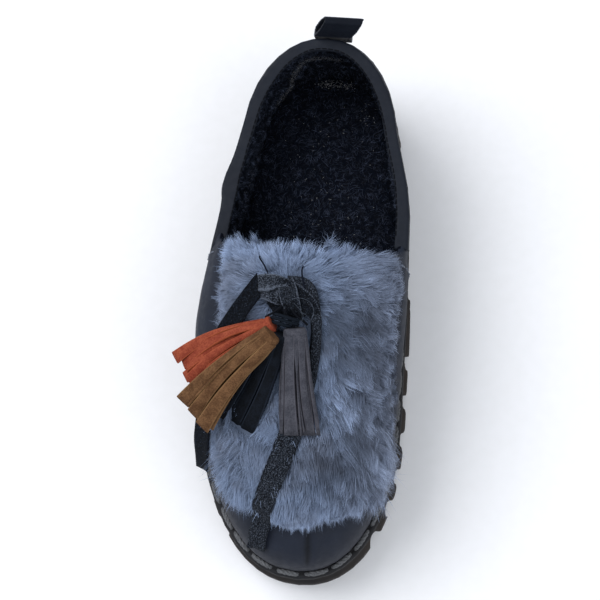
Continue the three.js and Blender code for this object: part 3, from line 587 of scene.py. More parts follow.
def foot_axis(points):
    """The middle line of the foot beside each point: what faces it is inside the shoe."""
    axis = np.empty_like(points)
    axis[:, 0] = AXIS_X - FOOT_LINE["aside"]
    axis[:, 1] = np.clip(points[:, 1], HEEL_BACK - FOOT_LINE["toe"], HEEL_BACK - FOOT_LINE["heel"])
    axis[:, 2] = FOOT_HEIGHT
    return axis


def press_creases(obj, creases):
    """Soft troughs, and ridges where the depth is below zero, along short lines laid on the leather, with
    painted shade for the troughs kept as the crease attribute.
    """
    points = vertices_of(obj)
    normals = normals_of(obj)
    faces = surface_of(obj)
    folded = np.zeros(len(points))
    steps = CREASE["steps"]
    for crease in creases:
        a, b = [at(*end) for end in crease["ends"]]
        stops = [a.lerp(b, k / steps) for k in range(steps + 1)]
        line = np.array([tuple(faces.find_nearest(stop)[0]) for stop in stops])
        reach = (b - a).length / 2 + CREASE["reach"] * crease["width"] * MM + CREASE["margin"]
        near = np.flatnonzero(np.linalg.norm(points - np.array((a + b) / 2), axis=1) < reach)
        gaps = np.linalg.norm(points[near][:, None] - line[None], axis=2)
        along = gaps.argmin(axis=1) / steps
        fade = np.sin(np.pi * np.clip(along, CREASE["runs_out"], 1 - CREASE["runs_out"]))
        dip = crease["depth"] * np.exp(-((gaps.min(axis=1) / MM / crease["width"]) ** 2)) * fade
        points[near] -= normals[near] * dip[:, None] * MM
        folded[near] = np.maximum(folded[near], dip)
    move_vertices(obj, points)
    # Painted shade: the deeper the trough, the darker the leather is painted there.
    set_shade(obj, "crease", CREASE["darkest"] * np.clip(folded, 0, 1) ** 2)


def bag_out(obj, width):
    """The worn outer side sags outwards below the collar: the outside of a wall of that width moves."""
    points = vertices_of(obj)
    from_heel = from_heel_of(points)
    share = np.exp(-(((from_heel - BAGGY["from_heel"]) / BAGGY["reach"]) ** 2))
    share *= smoothstep(points[:, 2] / MM, BAGGY["low"], BAGGY["high"])
    share *= points[:, 0] < AXIS_X - BAGGY["beyond"] * MM
    slot = np.clip(np.rint(from_heel).astype(int), 0, LONGEST)
    outermost = np.full(LONGEST + 1, 1.0)
    np.minimum.at(outermost, slot[share > 0.01], points[share > 0.01][:, 0])
    depth = (points[:, 0] - outermost[slot]) / MM
    moved = share * (1 - smoothstep(depth, BAGGY["firm"] * width, width))
    points[:, 0] -= moved * BAGGY["out"] * MM
    move_vertices(obj, points)


def lines_the_foot(obj):
    """For each face of the upper, 1 if a ray away from the foot meets the wall's other side."""
    faces = surface_of(obj)
    centres = np.empty(3 * len(obj.data.polygons))
    obj.data.polygons.foreach_get("center", centres)
    centres = centres.reshape(-1, 3)
    away = centres - foot_axis(centres)
    away /= np.linalg.norm(away, axis=1, keepdims=True)
    level = away * np.array([1, 1, 0])
    level /= np.linalg.norm(level, axis=1, keepdims=True)
    found = np.zeros(len(centres), np.int32)
    for ways in (away, level):
        starts = centres + ways * WALL["clear"] * MM
        hits = [faces.ray_cast(Vector(s), Vector(w), WALL["thickest"])[0] for s, w in zip(starts, ways)]
        found |= np.array([hit is not None for hit in hits], np.int32)
    return found


def build_upper():
    """The CAD wall, smoothed but for its edges and the vamp's seam: leather outside, pile inside."""
    upper = copy_of("upper", "upper_leather")
    modify(upper, "REMESH", mode="VOXEL", voxel_size=UPPER["voxel"])
    points = vertices_of(upper)
    from_heel = from_heel_of(points)
    height = points[:, 2] / MM
    seam = SEAM["low"] + (SEAM["high"] - SEAM["low"]) * np.clip(height / SEAM["top"], 0, 1)
    low_edge = np.interp(from_heel, LOW_EDGE["from_heel"], LOW_EDGE["height"])
    free = smoothstep(np.abs(from_heel - seam), *KEPT_SHARP["seam"])
    free *= smoothstep(height - low_edge, *KEPT_SHARP["low_edge"])
    group = upper.vertex_groups.new(name="free")
    for index, weight in enumerate(free):
        group.add([index], float(weight), "REPLACE")
    modify(upper, "SMOOTH", factor=0.5, iterations=UPPER["rounds"], vertex_group="free")
    modify(upper, "SMOOTH", factor=0.5, iterations=UPPER["last_rounds"])
    press_creases(upper, CREASES)
    bag_out(upper, BAGGY["walls"]["upper"])
    upper.data.materials.append(leather("matt_cow_leather", "#171b24", "#232936", 0.6, 1.3, 0.3))
    upper.data.materials.append(plush("lining_pile", "#020308", "#0d111a"))
    upper.data.polygons.foreach_set("material_index", lines_the_foot(upper))
    return finish_piece(upper, None, "leather", "upper")


# Welt, outsole, insole, binding and pull loop

ROUNDED = {
    "welt": {"name": "welt_strip", "voxel": 0.95, "rounds": 3, "slot": "leather"},
    "outsole": {"name": "lug_sole", "voxel": 1.45, "rounds": 2, "slot": "rubber"},
    "insole": {"name": "footbed", "voxel": 2.0, "rounds": 4, "slot": "plush"},
    "collar_binding": {"name": "collar_roll", "voxel": 0.65, "rounds": 4, "slot": "binding"},
    "pull_loop": {"name": "heel_tape", "voxel": 0.6, "rounds": 4, "slot": "binding"},
}
FOOTBED_WIDER = 3.6
TAPE_LEAN = {
    "low": 90.0, "high": 116.0, "aside": -1.8, "across": 0.9, "forward": 2.4,
    "flatter": 0.5, "loop_from": 0.5,
}
BINDING_ENDS = {
    "from": 86.0, "last": 98.0, "along": (72.0, 94.0),
    "longer": {-1: (18.0, 18.0, 18.0), 1: (2.0, 9.0, 9.0)},
}


def smooth_copy(node, material):
    """A CAD node with its facets rounded off."""
    spec = ROUNDED[node]
    made = copy_of(node, spec["name"])
    round_off(made, spec["voxel"] * MM, spec["rounds"])
    return finish_piece(made, material, spec["slot"], node)


def fill_to_walls(footbed):
    """Pushes the sides of the footbed out until its pile meets the lining."""
    points = vertices_of(footbed)
    sideways = normals_of(footbed) * np.array([1, 1, 0])
    move_vertices(footbed, points + sideways * FOOTBED_WIDER * MM)


def lean_tape(tape):
    """The soft tape sits a little outward and leans towards the toe, pressed flatter higher up."""
    points = vertices_of(tape)
    share = smoothstep(points[:, 2] / MM, TAPE_LEAN["low"], TAPE_LEAN["high"])
    points[:, 0] += (TAPE_LEAN["aside"] + share * TAPE_LEAN["across"]) * MM
    loop = points[share > TAPE_LEAN["loop_from"]][:, 1]
    middle = (loop.min() + loop.max()) / 2
    points[:, 1] -= share * TAPE_LEAN["flatter"] * (points[:, 1] - middle)
    points[:, 1] -= share * TAPE_LEAN["forward"] * MM
    move_vertices(tape, points)


def lengthen_binding(binding):
    """Draws the binding's two ends out along the collar's straight run, in under the fur."""
    points = vertices_of(binding)
    from_heel = from_heel_of(points)
    across = points[:, 0] - AXIS_X
    first, last = BINDING_ENDS["along"]
    span = BINDING_ENDS["last"] - BINDING_ENDS["from"]
    for side in (-1, 1):
        mine = side * across > 0
        a, b = [points[mine & (np.abs(from_heel - f) < 1)].mean(axis=0) for f in (first, last)]
        share = np.clip((from_heel - BINDING_ENDS["from"]) / span, 0, 1) ** 2 * mine
        points += share[:, None] * (b - a) / (last - first) * np.array(BINDING_ENDS["longer"][side])
    move_vertices(binding, points)


# Fur

WHORL = at(136, -8, 96)
HAIRS_PER_PIECE = 24000
FUR_PIECES = ("fur_back", "fur_middle", "fur_front")
HAIR = {
    "width": 0.24 * MM, "widths": (0.7, 1.25), "steps": 4, "strays": 0.2, "guard": 0.45, "sway": 0.16,
    "guard_lengths": (0.8, 1.15), "wool_lengths": (0.35, 0.75), "own_lengths": (0.8, 1.15),
    "rises": (0.6, 1.2), "gathers": (0.5, 1.2), "stray_gather": 0.3, "calm_gather": 0.6, "bunching": 1.3,
    "seen_past": 1.05, "shortest": 3 * MM, "stops_at": 0.88,
}
HAIR_SHADES = {"guard": ((0.9, 1.1), (0.8, 1.3)), "wool": ((0.68, 0.88), (0.5, 0.88))}
# How bright each step of a hair is from root to tip: painted shade deep in the fur, full colour at the tip.
PAINTED_DEPTH_SHADES_ALONG = np.array([0.06, 0.36, 0.74, 1.0])
CALM_PAINTED_DEPTH_SHADES_ALONG = np.array([0.16, 0.37, 0.59, 0.74])
LOCK = {
    "count": 900, "length": 11.0 * MM, "rise": 3.4 * MM, "gather": 0.5, "turn": 0.38,
    "lengths": (0.75, 1.2), "rises": (0.3, 1.3), "shade": 0.88, "lively_shade": 0.08,
    "spread": 0.13, "lively_spread": 0.5,
}
FLOW = {"parts": (136, 170), "inner": 27, "inner_pull": 0.75, "pull": 0.1, "sweep": 18, "sway": 0.6}
LIE = {"rooted": 0.8, "sinks": 0.35, "arc": (0.25, 0.5), "off_pelt": 2.5 * MM, "on_skin": 0.1 * MM}
LIVELY = {"inner": (-4, 20), "toe": (212, 234), "toe_calm": 0.6, "throat": (122, 140)}
EDGE = {
    "trimmed": {"across": 33, "until": 190, "share": 0.55}, "short": 0.5, "thin": 2.5, "full": 7.5,
    "throat": {"until": 122, "corner": 27, "middle": 0.66, "sides": 0.95},
    "overhang": {1: (193, 222), -1: (194, 242)}, "middle": 12, "inner": 27,
    "over_inner": 1.35, "over": 1.05, "clear": 0.2, "deepest": 16 * MM,
}
# The under-wool's shade value is painted shade under the hair, close to the roots' dark colour.
PELT = {"voxel": 1.5 * MM, "rounds": 6, "shrink": 1.4 * MM, "shade": 0.08, "hairy": 2.4 * MM}
# Patches of painted shade where share is above 0, such as the shadow below the grey tassel and the darker
# inner side, and of painted light where it is below 0, by the throat and at the toe.
PAINTED_LIGHT_AND_SHADE_PATCHES = [
    {"at": (146, 16, 93), "radius": 13, "share": 0.5},
    {"at": (158, 26, 88), "radius": 15, "share": 0.44},
    {"at": (144, 34, 88), "radius": 12, "share": 0.2},
    {"at": (176, 36, 80), "radius": 14, "share": 0.2},
    {"at": (206, 18, 72), "radius": 15, "share": 0.56},
    {"at": (214, 8, 70), "radius": 9, "share": 0.2},
    {"at": (222, 24, 64), "radius": 9, "share": 0.2},
    {"at": (196, -22, 74), "radius": 10, "share": 0.16},
    {"at": (118, -14, 97), "radius": 20, "share": -0.42},
    {"at": (120, 24, 94), "radius": 16, "share": -0.28},
    {"at": (236, 6, 60), "radius": 12, "share": -0.2},
    {"at": (205, -34, 66), "radius": 16, "share": -0.15},
    {"at": (180, 18, 82), "radius": 11, "share": -0.12},
]


def build_pelt():
    """The under-wool: the CAD pelt, rounded off and shrunk, so that the hairs stand out of it."""
    pelt = copy_of("fur_cover", "fur_underwool")
    round_off(pelt, PELT["voxel"], PELT["rounds"])
    modify(pelt, "DISPLACE", strength=-PELT["shrink"], mid_level=0.0)
    return pelt


def fur_flow(root, out, turn):
    """The way the hair lies: away from the knot, in broad sweeps, each lock turned a little."""
    from_heel, across = place_on_shoe(root)
    pull = FLOW["inner_pull"] if 0 < across < FLOW["inner"] else FLOW["pull"]
    toeward = Vector((0, -pull * smoothstep(from_heel, *FLOW["parts"]), 0))
    flow = (root - WHORL).normalized() + toeward + turn
    flow += noise.noise_vector(root * per_mm(FLOW["sweep"])) * FLOW["sway"]
    return (flow - out * flow.dot(out)).normalized()


def lie(root, out, flow, reach, lift, leather_faces):
    """Points of a hair that leaves the wool at a slant and then lies along the pelt."""
    deep = leather_faces.find_nearest(root)[3]
    points = [root - out * LIE["rooted"] * MM]
    first, span = LIE["arc"]
    for k in range(1, HAIR["steps"]):
        share = k / (HAIR["steps"] - 1)
        free = root + flow * reach * share
        skin, _, _, away = leather_faces.find_nearest(free)
        above = deep + (lift - LIE["sinks"] * deep * share) * math.sin(math.pi * (first + span * share))
        if away - deep > LIE["off_pelt"] or away < LIE["on_skin"]:
            points.append(free + out * lift * share)
        else:
            points.append(skin + (free - skin).normalized() * above)
    return points


def edge_reach(root, flow, reach, leather_faces, pelt_faces):
    """A hair's length, shortened where the pelt thins out and where the hair would leave the pelt."""
    from_heel, across = place_on_shoe(root)
    first, last = EDGE["overhang"][1 if across > 0 else -1]
    if first < from_heel < last and abs(across) > EDGE["middle"]:
        return (EDGE["over_inner"] if across > EDGE["inner"] else EDGE["over"]) * reach
    deep = leather_faces.find_nearest(root)[3]
    reach *= EDGE["short"] + (1 - EDGE["short"]) * smoothstep(deep / MM, EDGE["thin"], EDGE["full"])
    if across > EDGE["trimmed"]["across"] and EDGE["trimmed"]["until"] > from_heel:
        reach *= EDGE["trimmed"]["share"]
    skin, away, _, _ = leather_faces.find_nearest(root + flow * reach)
    if pelt_faces.ray_cast(skin + away * EDGE["clear"] * MM, away, EDGE["deepest"])[0] is not None:
        return reach
    if from_heel >= EDGE["throat"]["until"]:
        return EDGE["short"] * reach
    return EDGE["throat"]["middle" if abs(across) < EDGE["throat"]["corner"] else "sides"] * reach


def painted_patch_shade(point):
    """How dark or pale the hair is painted here, about 1: painted shade and painted light in soft patches,
    partly the dye's own unevenness.
    """
    shade = 1.0
    for patch in PAINTED_LIGHT_AND_SHADE_PATCHES:
        gap = (point - at(*patch["at"])).length / MM
        shade -= patch["share"] * math.exp(-((gap / patch["radius"]) ** 2))
    return shade


def liveliness(root):
    """How unruly the hair is: full on the inner side, calmer outside, by the throat and at the toe."""
    from_heel, across = place_on_shoe(root)
    toe = smoothstep(from_heel, *LIVELY["toe"])
    inner = smoothstep(across, *LIVELY["inner"])
    return float(inner * (1 - LIVELY["toe_calm"] * toe) * smoothstep(from_heel, *LIVELY["throat"]))


def grow_locks(pelt, wanted, leather_faces, pelt_faces):
    """The middle hair of each lock: its root, its way, its points and its shade."""
    spots, facing = scatter(pelt, LOCK["count"], wanted)
    locks = []
    for spot, normal in zip(spots, facing):
        root, out = Vector(spot), Vector(normal)
        turn = Vector(rng.normal(size=3)) * LOCK["turn"]
        flow = fur_flow(root, out, turn)
        lock = {"root": root, "turn": turn}
        lock["reach"] = rng.uniform(*LOCK["lengths"]) * LOCK["length"]
        lock["lift"] = rng.uniform(*LOCK["rises"]) * LOCK["rise"]
        shown = edge_reach(root, flow, lock["reach"], leather_faces, pelt_faces)
        lock["points"] = lie(root, out, flow, shown, lock["lift"], leather_faces)
        lively = liveliness(root)
        spread = LOCK["spread"] + LOCK["lively_spread"] * lively
        shade = LOCK["shade"] + LOCK["lively_shade"] * lively + rng.uniform(-spread, spread)
        # Each lock's shade takes in the painted light and shade of the patches.
        lock["shade"] = shade * painted_patch_shade(root)
        locks.append(lock)
    return locks


def grow_hairs(spots, facing, locks, leather_faces, pelt_faces, blockers):
    """Hairs drawn together towards their lock's tip, cut short where ribbon or tassels press on them."""
    tree = KDTree(len(locks))
    for index, lock in enumerate(locks):
        tree.insert(lock["root"], index)
    tree.balance()
    paths, sides, tints = [], [], []
    for spot, normal in zip(spots, facing):
        root, out = Vector(spot), Vector(normal)
        near = tree.find_n(root, 3)
        stray = rng.uniform() < HAIR["strays"]
        lock = locks[near[int(rng.integers(1, 3)) if stray else 0][1]]
        flow = fur_flow(root, out, lock["turn"] + Vector(rng.normal(size=3)) * HAIR["sway"])
        kind = "guard" if rng.uniform() < HAIR["guard"] else "wool"
        reach = lock["reach"] * rng.uniform(*HAIR[kind + "_lengths"])
        reach = edge_reach(root, flow, reach, leather_faces, pelt_faces)
        reach *= rng.uniform(*HAIR["own_lengths"])
        own = lie(root, out, flow, reach, lock["lift"] * rng.uniform(*HAIR["rises"]), leather_faces)
        lively = liveliness(root)
        gather = LOCK["gather"] * rng.uniform(*HAIR["gathers"]) * (HAIR["stray_gather"] if stray else 1.0)
        gather *= smoothstep(leather_faces.find_nearest(root)[3] / MM, EDGE["thin"], EDGE["full"])
        gather *= HAIR["calm_gather"] + (1 - HAIR["calm_gather"]) * lively
        points = []
        for k, point in enumerate(own):
            share = k / (HAIR["steps"] - 1)
            points.append(point.lerp(lock["points"][k], gather * share ** HAIR["bunching"]))
        way = points[-1] - root
        hit = blockers.ray_cast(root, way.normalized(), way.length * HAIR["seen_past"])
        if hit[0] is not None:
            if hit[3] < HAIR["shortest"]:
                continue
            points = [root + (p - root) * (HAIR["stops_at"] * hit[3] / way.length) for p in points]
        paths.append([tuple(p) for p in points])
        sides.append(tuple(flow.cross(out).normalized()))
        low, high = [calm + (wild - calm) * lively for calm, wild in zip(*HAIR_SHADES[kind])]
        shade = lock["shade"] * rng.uniform(low, high)
        tints.append(shade * (CALM_PAINTED_DEPTH_SHADES_ALONG + lively * (PAINTED_DEPTH_SHADES_ALONG - CALM_PAINTED_DEPTH_SHADES_ALONG)))
    return np.array(paths), np.array(sides), np.array(tints)


def build_fur(upper_faces, pelt_faces, blockers):
    """Under-wool, and three bands of hair from the instep to the toe."""
    pelt = build_pelt()
    material = fur()

    def outer(centres, normals):
        return np.array([upper_faces.find_nearest(Vector(c))[3] > PELT["hairy"] for c in centres], float)

    locks = grow_locks(pelt, outer, upper_faces, pelt_faces)
    spots, facing = scatter(pelt, HAIRS_PER_PIECE * len(FUR_PIECES), outer)
    paths, sides, tints = grow_hairs(spots, facing, locks, upper_faces, pelt_faces, blockers)
    order = np.argsort(-paths[:, 0, 1])
    for name, chosen in zip(FUR_PIECES, np.array_split(order, len(FUR_PIECES))):
        widths = rng.uniform(*HAIR["widths"], len(chosen)) * HAIR["width"]
        made = strands(name, paths[chosen], sides[chosen], widths, tints[chosen])
        finish_piece(made, material, "fur")
    # Painted shade: the under-wool is tinted as dark as the deepest roots.
    set_shade(pelt, "tint", np.full(len(pelt.data.vertices), PELT["shade"]))
    finish_piece(pelt, material, "fur", "fur_cover")


# Ribbon bow

RIBBON = {"width": 10.0 * MM, "thickness": 0.8 * MM}
ROUTES = {
    "ribbon_tail": [
        {"from_heel": 134.2, "across": -21.0, "height": 97, "lift": 2.6, "wide": 0.84},
        {"from_heel": 140.5, "across": -25.8, "height": 93, "lift": 1.8, "wide": 0.84},
        {"from_heel": 147.2, "across": -30.2, "height": 88, "lift": 2.4, "wide": 0.86},
        {"from_heel": 157, "across": -35.5, "height": 81, "lift": 2.4, "wide": 0.9},
        {"from_heel": 170, "across": -40.5, "height": 73, "lift": 2.2, "wide": 1.0},
        {"from_heel": 185, "across": -43, "height": 66, "lift": 4.4, "wide": 1.0},
        {"from_heel": 199, "across": -43.5, "height": 59, "lift": 5.8, "wide": 1.0},
        {"from_heel": 214, "across": -42, "height": 51, "lift": 5.8, "wide": 1.0},
    ],
    "ribbon_toe_loop": [
        {"from_heel": 134, "across": -8, "height": 98, "lift": 2.0, "wide": 0.8},
        {"from_heel": 134, "across": 0, "height": 97, "lift": 3.0, "wide": 0.75},
        {"from_heel": 142, "across": 4.4, "height": 93, "lift": 2.0, "wide": 0.5},
        {"from_heel": 157, "across": 6.2, "height": 88, "lift": 0.6, "wide": 0.42},
        {"from_heel": 180, "across": 3.2, "height": 80, "lift": 0.0, "wide": 0.62},
        {"from_heel": 200, "across": -3.8, "height": 73, "lift": 0.0, "wide": 1.0},
        {"from_heel": 225, "across": -10.4, "height": 64, "lift": 0.6, "wide": 0.96},
        {"from_heel": 238, "across": -13.8, "height": 57, "lift": 1.4, "wide": 0.94},
        {"from_heel": 249.5, "across": -16.5, "height": 49, "lift": 0.0, "wide": 0.92},
    ],
    "ribbon_knot_band": [
        {"from_heel": 134.6, "across": -20.5, "height": 96, "lift": 1.8, "wide": 1.1},
        {"from_heel": 134.6, "across": -17, "height": 97, "lift": 3.6, "wide": 1.2},
        {"from_heel": 135, "across": -13.6, "height": 97, "lift": 4.6, "wide": 1.3},
        {"from_heel": 137, "across": -6.6, "height": 97, "lift": 5.4, "wide": 1.25},
        {"from_heel": 140.2, "across": 0.4, "height": 96, "lift": 4.8, "wide": 1.0},
        {"from_heel": 144.8, "across": 4.9, "height": 94, "lift": 3.0, "wide": 0.62},
        {"from_heel": 150, "across": 6.8, "height": 92, "lift": 1.0, "wide": 0.42},
    ],
    "ribbon_knot_wrap": [
        {"from_heel": 131.5, "across": -8.4, "height": 97, "lift": 5.0, "wide": 0.72},
        {"from_heel": 136, "across": -6.8, "height": 97, "lift": 8.0, "wide": 0.86},
        {"from_heel": 141.5, "across": -5.0, "height": 96, "lift": 7.4, "wide": 0.8},
        {"from_heel": 147, "across": -3.4, "height": 93, "lift": 2.2, "wide": 0.6},
    ],
}
PLEATS = {
    "ribbon_knot_band": [
        {"ends": [(-0.05, -0.3), (0.24, -0.2)], "rise": 1.9},
        {"ends": [(0.22, -0.25), (0.5, 0.65)], "rise": 1.9},
        {"ends": [(0.44, -1.2), (0.38, 0.1)], "rise": 1.8},
        {"ends": [(0.52, -0.1), (0.86, 0.5)], "rise": 1.5},
    ],
    "ribbon_knot_wrap": [{"ends": [(0.1, 0.1), (0.8, -0.1)], "rise": 0.9}],
}
LINT = {
    "ribbon_tail": {"share": (0, 1), "amount": (0.0, 0.0)},
    "ribbon_toe_loop": {"share": (0, 0.2, 0.4, 1), "amount": (0.15, 0.2, 0.5, 0.55)},
    "ribbon_knot_band": {"share": (0, 0.3, 0.45, 1), "amount": (0.75, 0.65, 0.2, 0.2)},
    "ribbon_knot_wrap": {"share": (0, 1), "amount": (0.6, 0.2)},
}
PLEAT = {"slope": 2.6 * MM, "drop": 0.5 * MM, "starts": (-0.1, 0.15), "ends": (-1.1, -0.85)}
# Painted highlights, added to the lint attribute: pale lines on the pleats' ridges and along the edges of
# pleated strips.
PAINTED_CREST_HIGHLIGHT = {"amount": 0.9, "rise": (1.1, 1.9)}
PAINTED_EDGE_HIGHLIGHT = {"amount": 0.85, "across": (0.84, 1.0)}
WAVE = {"high": 0.5 * MM, "along": 0.23, "across": 0.8, "cup": 0.35 * MM}
LAID = {
    "clear": 0.2, "past": 0.05, "layers": 6, "deepest": 15 * MM, "above": 0.3 * MM, "rounds": 3,
}
STEPS = {"ribbon_tail": 48, "ribbon_toe_loop": 60, "ribbon_knot_band": 56, "ribbon_knot_wrap": 56}
COLUMNS = {"flat": 9, "pleated": 27}
TAIL_CUT = {"skew": 3.9 * MM, "fades": 6}
KNOT = {
    "at": (141, -6, 98), "size": (11.5, 8.6, 4.4), "lift": 0.8, "folds": 0.7, "segments": 64, "rings": 40,
    "fold_way": (0.8, 0.6), "fold_size": 4,
}
FOLD = {"rise": 1.3 * MM, "shift": 0.8 * MM, "reach": 1.0 * MM}


def spline(points, count):
    """A smooth line through points, as that many even steps."""
    ends = [2 * points[0] - points[1], *points, 2 * points[-1] - points[-2]]
    line = []
    for k in range(count + 1):
        where = min(k / count * (len(points) - 1), len(points) - 1 - 1e-6)
        i, t = int(where), where - int(where)
        a, b, c, d = ends[i : i + 4]
        bend = 2 * a - 5 * b + 4 * c - d
        turn = 3 * b - a - 3 * c + d
        line.append(0.5 * (2 * b + (c - a) * t + bend * t**2 + turn * t**3))
    return line


def pelt_top(point, upper_faces, pelt_faces):
    """The outermost place of the pelt over the leather nearest to a point, and the way out of it."""
    skin, out, _, _ = upper_faces.find_nearest(point)
    top = skin
    start = skin + out * LAID["clear"] * MM
    for _ in range(LAID["layers"]):
        hit = pelt_faces.ray_cast(start, out, LAID["deepest"])[0]
        if hit is None:
            break
        top = hit
        start = hit + out * LAID["past"] * MM
    return top, out


def laid(name, upper_faces, pelt_faces):
    """Places of a ribbon's middle line on the pelt, with the way out and the width at each."""
    route, steps = ROUTES[name], STEPS[name]
    line = spline([np.array(at(r["from_heel"], r["across"], r["height"])) for r in route], steps)
    values = spline([np.array([r["lift"] * MM, r["wide"] * RIBBON["width"]]) for r in route], steps)
    places = []
    for point, (lift, wide) in zip(line, values):
        top, out = pelt_top(Vector(point), upper_faces, pelt_faces)
        places.append((top + out * (lift + LAID["above"] + RIBBON["thickness"] / 2), out, wide))
    for _ in range(LAID["rounds"]):
        eased = []
        for a, b, c in zip(places, places[1:], places[2:]):
            eased.append(((a[0] + 2 * b[0] + c[0]) / 4, (a[1] + 2 * b[1] + c[1]).normalized(), b[2]))
        places = [places[0], *eased, places[-1]]
    return places


def pleat_height(spot, pleats, length, half):
    """Height of the pleats at one place of a strip: each slopes away to one side of its line."""
    high = 0.0
    for pleat in pleats:
        a, b = [Vector((share * length, u * half)) for share, u in pleat["ends"]]
        run = (b - a).normalized()
        along = (spot - a).dot(run) / (b - a).length
        beside = run.x * (spot - a).y - run.y * (spot - a).x
        slope = math.exp(-beside / PLEAT["slope"]) if beside > 0 else math.exp(beside / PLEAT["drop"])
        held = smoothstep(along, *PLEAT["starts"]) * smoothstep(-along, *PLEAT["ends"])
        high += pleat["rise"] * MM * slope * float(held)
    return high


def add_ribbon(name, places, material, columns=COLUMNS["flat"], skew=0.0):
    """A velvet strip along a line of places: a grid laid out and thickened, with waves and its pleats.

    Its first end is cut aslant by skew. The lint it has caught, with painted highlights on its pleats and
    along the edges of pleated strips, is kept as an attribute.
    """
    rows = len(places)
    length = sum((b[0] - a[0]).length for a, b in zip(places, places[1:]))
    bpy.ops.object.select_all(action="DESELECT")
    bpy.ops.mesh.primitive_grid_add(x_subdivisions=columns - 1, y_subdivisions=rows - 1, size=1)
    strip = bpy.context.object
    strip.name = name
    strip.data.name = name
    points = vertices_of(strip)
    column = np.rint((points[:, 0] + 0.5) * (columns - 1)).astype(int)
    line = np.rint((points[:, 1] + 0.5) * (rows - 1)).astype(int)
    painted_highlights = []
    for i, k in enumerate(line):
        place, out, wide = places[k]
        ahead = (places[min(k + 1, rows - 1)][0] - places[max(k - 1, 0)][0]).normalized()
        side = out.cross(ahead).normalized()
        over = ahead.cross(side).normalized()
        u = 2 * column[i] / (columns - 1) - 1
        wave = noise.noise(Vector((k * WAVE["along"], u * WAVE["across"], len(name))))
        on_strip = Vector((k / (rows - 1) * length, u * wide / 2))
        pleats = pleat_height(on_strip, PLEATS.get(name, ()), length, wide / 2)
        # Painted highlights on the pleats' ridges and on pleated strips' edges, carried by the lint
        # attribute.
        crest = PAINTED_CREST_HIGHLIGHT["amount"] * smoothstep(pleats / MM, *PAINTED_CREST_HIGHLIGHT["rise"])
        edge = PAINTED_EDGE_HIGHLIGHT["amount"] * smoothstep(abs(u), *PAINTED_EDGE_HIGHLIGHT["across"]) if name in PLEATS else 0.0
        painted_highlights.append(max(crest, edge))
        high = WAVE["high"] * wave + WAVE["cup"] * u * u + pleats
        slant = ahead * u * skew * max(0.0, 1 - TAIL_CUT["fades"] * k / rows)
        points[i] = tuple(place + side * (u * wide / 2) + over * high + slant)
    move_vertices(strip, points)
    amount = np.interp(line / (rows - 1), LINT[name]["share"], LINT[name]["amount"]) + np.array(painted_highlights)
    set_shade(strip, "lint", amount)
    modify(strip, "SOLIDIFY", thickness=RIBBON["thickness"], offset=0.0)
    point_outwards(strip)
    finish_piece(strip, material, "velvet")
    return strip


def build_knot_core(material, upper_faces, pelt_faces):
    """The crushed middle of the knot, under its bands: a low lump of velvet."""
    seat, out = pelt_top(at(*KNOT["at"]), upper_faces, pelt_faces)
    bpy.ops.object.select_all(action="DESELECT")
    bpy.ops.mesh.primitive_uv_sphere_add(segments=KNOT["segments"], ring_count=KNOT["rings"], radius=1)
    core = bpy.context.object
    core.name = "ribbon_knot_core"
    shape = vertices_of(core) * np.array(KNOT["size"])
    tilt = np.array(Vector((0, 0, 1)).rotation_difference(out).to_matrix())
    move_vertices(core, shape @ tilt.T * MM + np.array(seat + out * KNOT["lift"] * MM))
    c, s = KNOT["fold_way"]
    turned = [Vector((c * x - s * y, s * x + c * y, 0)) for x, y, _ in shape]
    folds = [noise.noise(spot / KNOT["fold_size"]) for spot in turned]
    bumped = vertices_of(core) + normals_of(core) * np.array(folds)[:, None] * KNOT["folds"] * MM
    move_vertices(core, bumped)
    finish_piece(core, material, "velvet")


def build_bow(upper_faces, pelt_faces):
    """Knot, tail and folded toe loop of one velvet ribbon, as four strips and a crumpled core."""
    material = velvet()
    tail = laid("ribbon_tail", upper_faces, pelt_faces)
    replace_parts(add_ribbon("ribbon_tail", tail, material, skew=TAIL_CUT["skew"]), "ribbon_bow")
    under = laid("ribbon_toe_loop", upper_faces, pelt_faces)
    over = []
    for k, (place, out, wide) in enumerate(under):
        ahead = (under[min(k + 1, len(under) - 1)][0] - under[max(k - 1, 0)][0]).normalized()
        side = out.cross(ahead).normalized()
        over.append((place + out * FOLD["rise"] + side * FOLD["shift"], -out, wide))
    ahead = (under[-1][0] - under[-2][0]).normalized()
    bend = (under[-1][0] + over[-1][0]) / 2 + ahead * FOLD["reach"]
    loop = [*under, (bend, -ahead, under[-1][2]), *reversed(over)]
    add_ribbon("ribbon_toe_loop", loop, material)
    for name in ("ribbon_knot_band", "ribbon_knot_wrap"):
        band = laid(name, upper_faces, pelt_faces)
        add_ribbon(name, band, material, columns=COLUMNS["pleated"])
    build_knot_core(material, upper_faces, pelt_faces)


# Tassels

TASSELS = {
    "tassel_grey": {
        "head": (153.5, -3, 96.5), "tip": (201, 2.4, 77), "length": 50.5, "spread": 0.094,
        "bend": -0.6, "narrow": 1.0,
        "cuts": (-1, -0.74, -0.02, 0.14, 0.28, 0.78, 1),
    },
    "tassel_brown": {
        "head": (157.5, -13, 100.5), "tip": (194.5, -49, 79.5), "length": 55.0, "spread": 0.13,
        "bend": -1.4, "narrow": 0.96,
        "cuts": (-1, -0.45, -0.3, 0.3, 1),
    },
    "tassel_black": {
        "head": (156, -10, 95), "tip": (193, -28, 74), "length": 51.0, "spread": 0.12,
        "bend": 0.5, "narrow": 1.0,
        "cuts": (-1, -0.7, -0.45, 0.25, 1),
    },
    "tassel_orange": {
        "head": (152, -13.5, 97), "tip": (176.5, -58, 78), "length": 51.5, "spread": 0.16,
        "bend": -2.4, "narrow": 0.74,
        "cuts": (-1, -0.66, -0.1, 0.42, 1),
    },
}
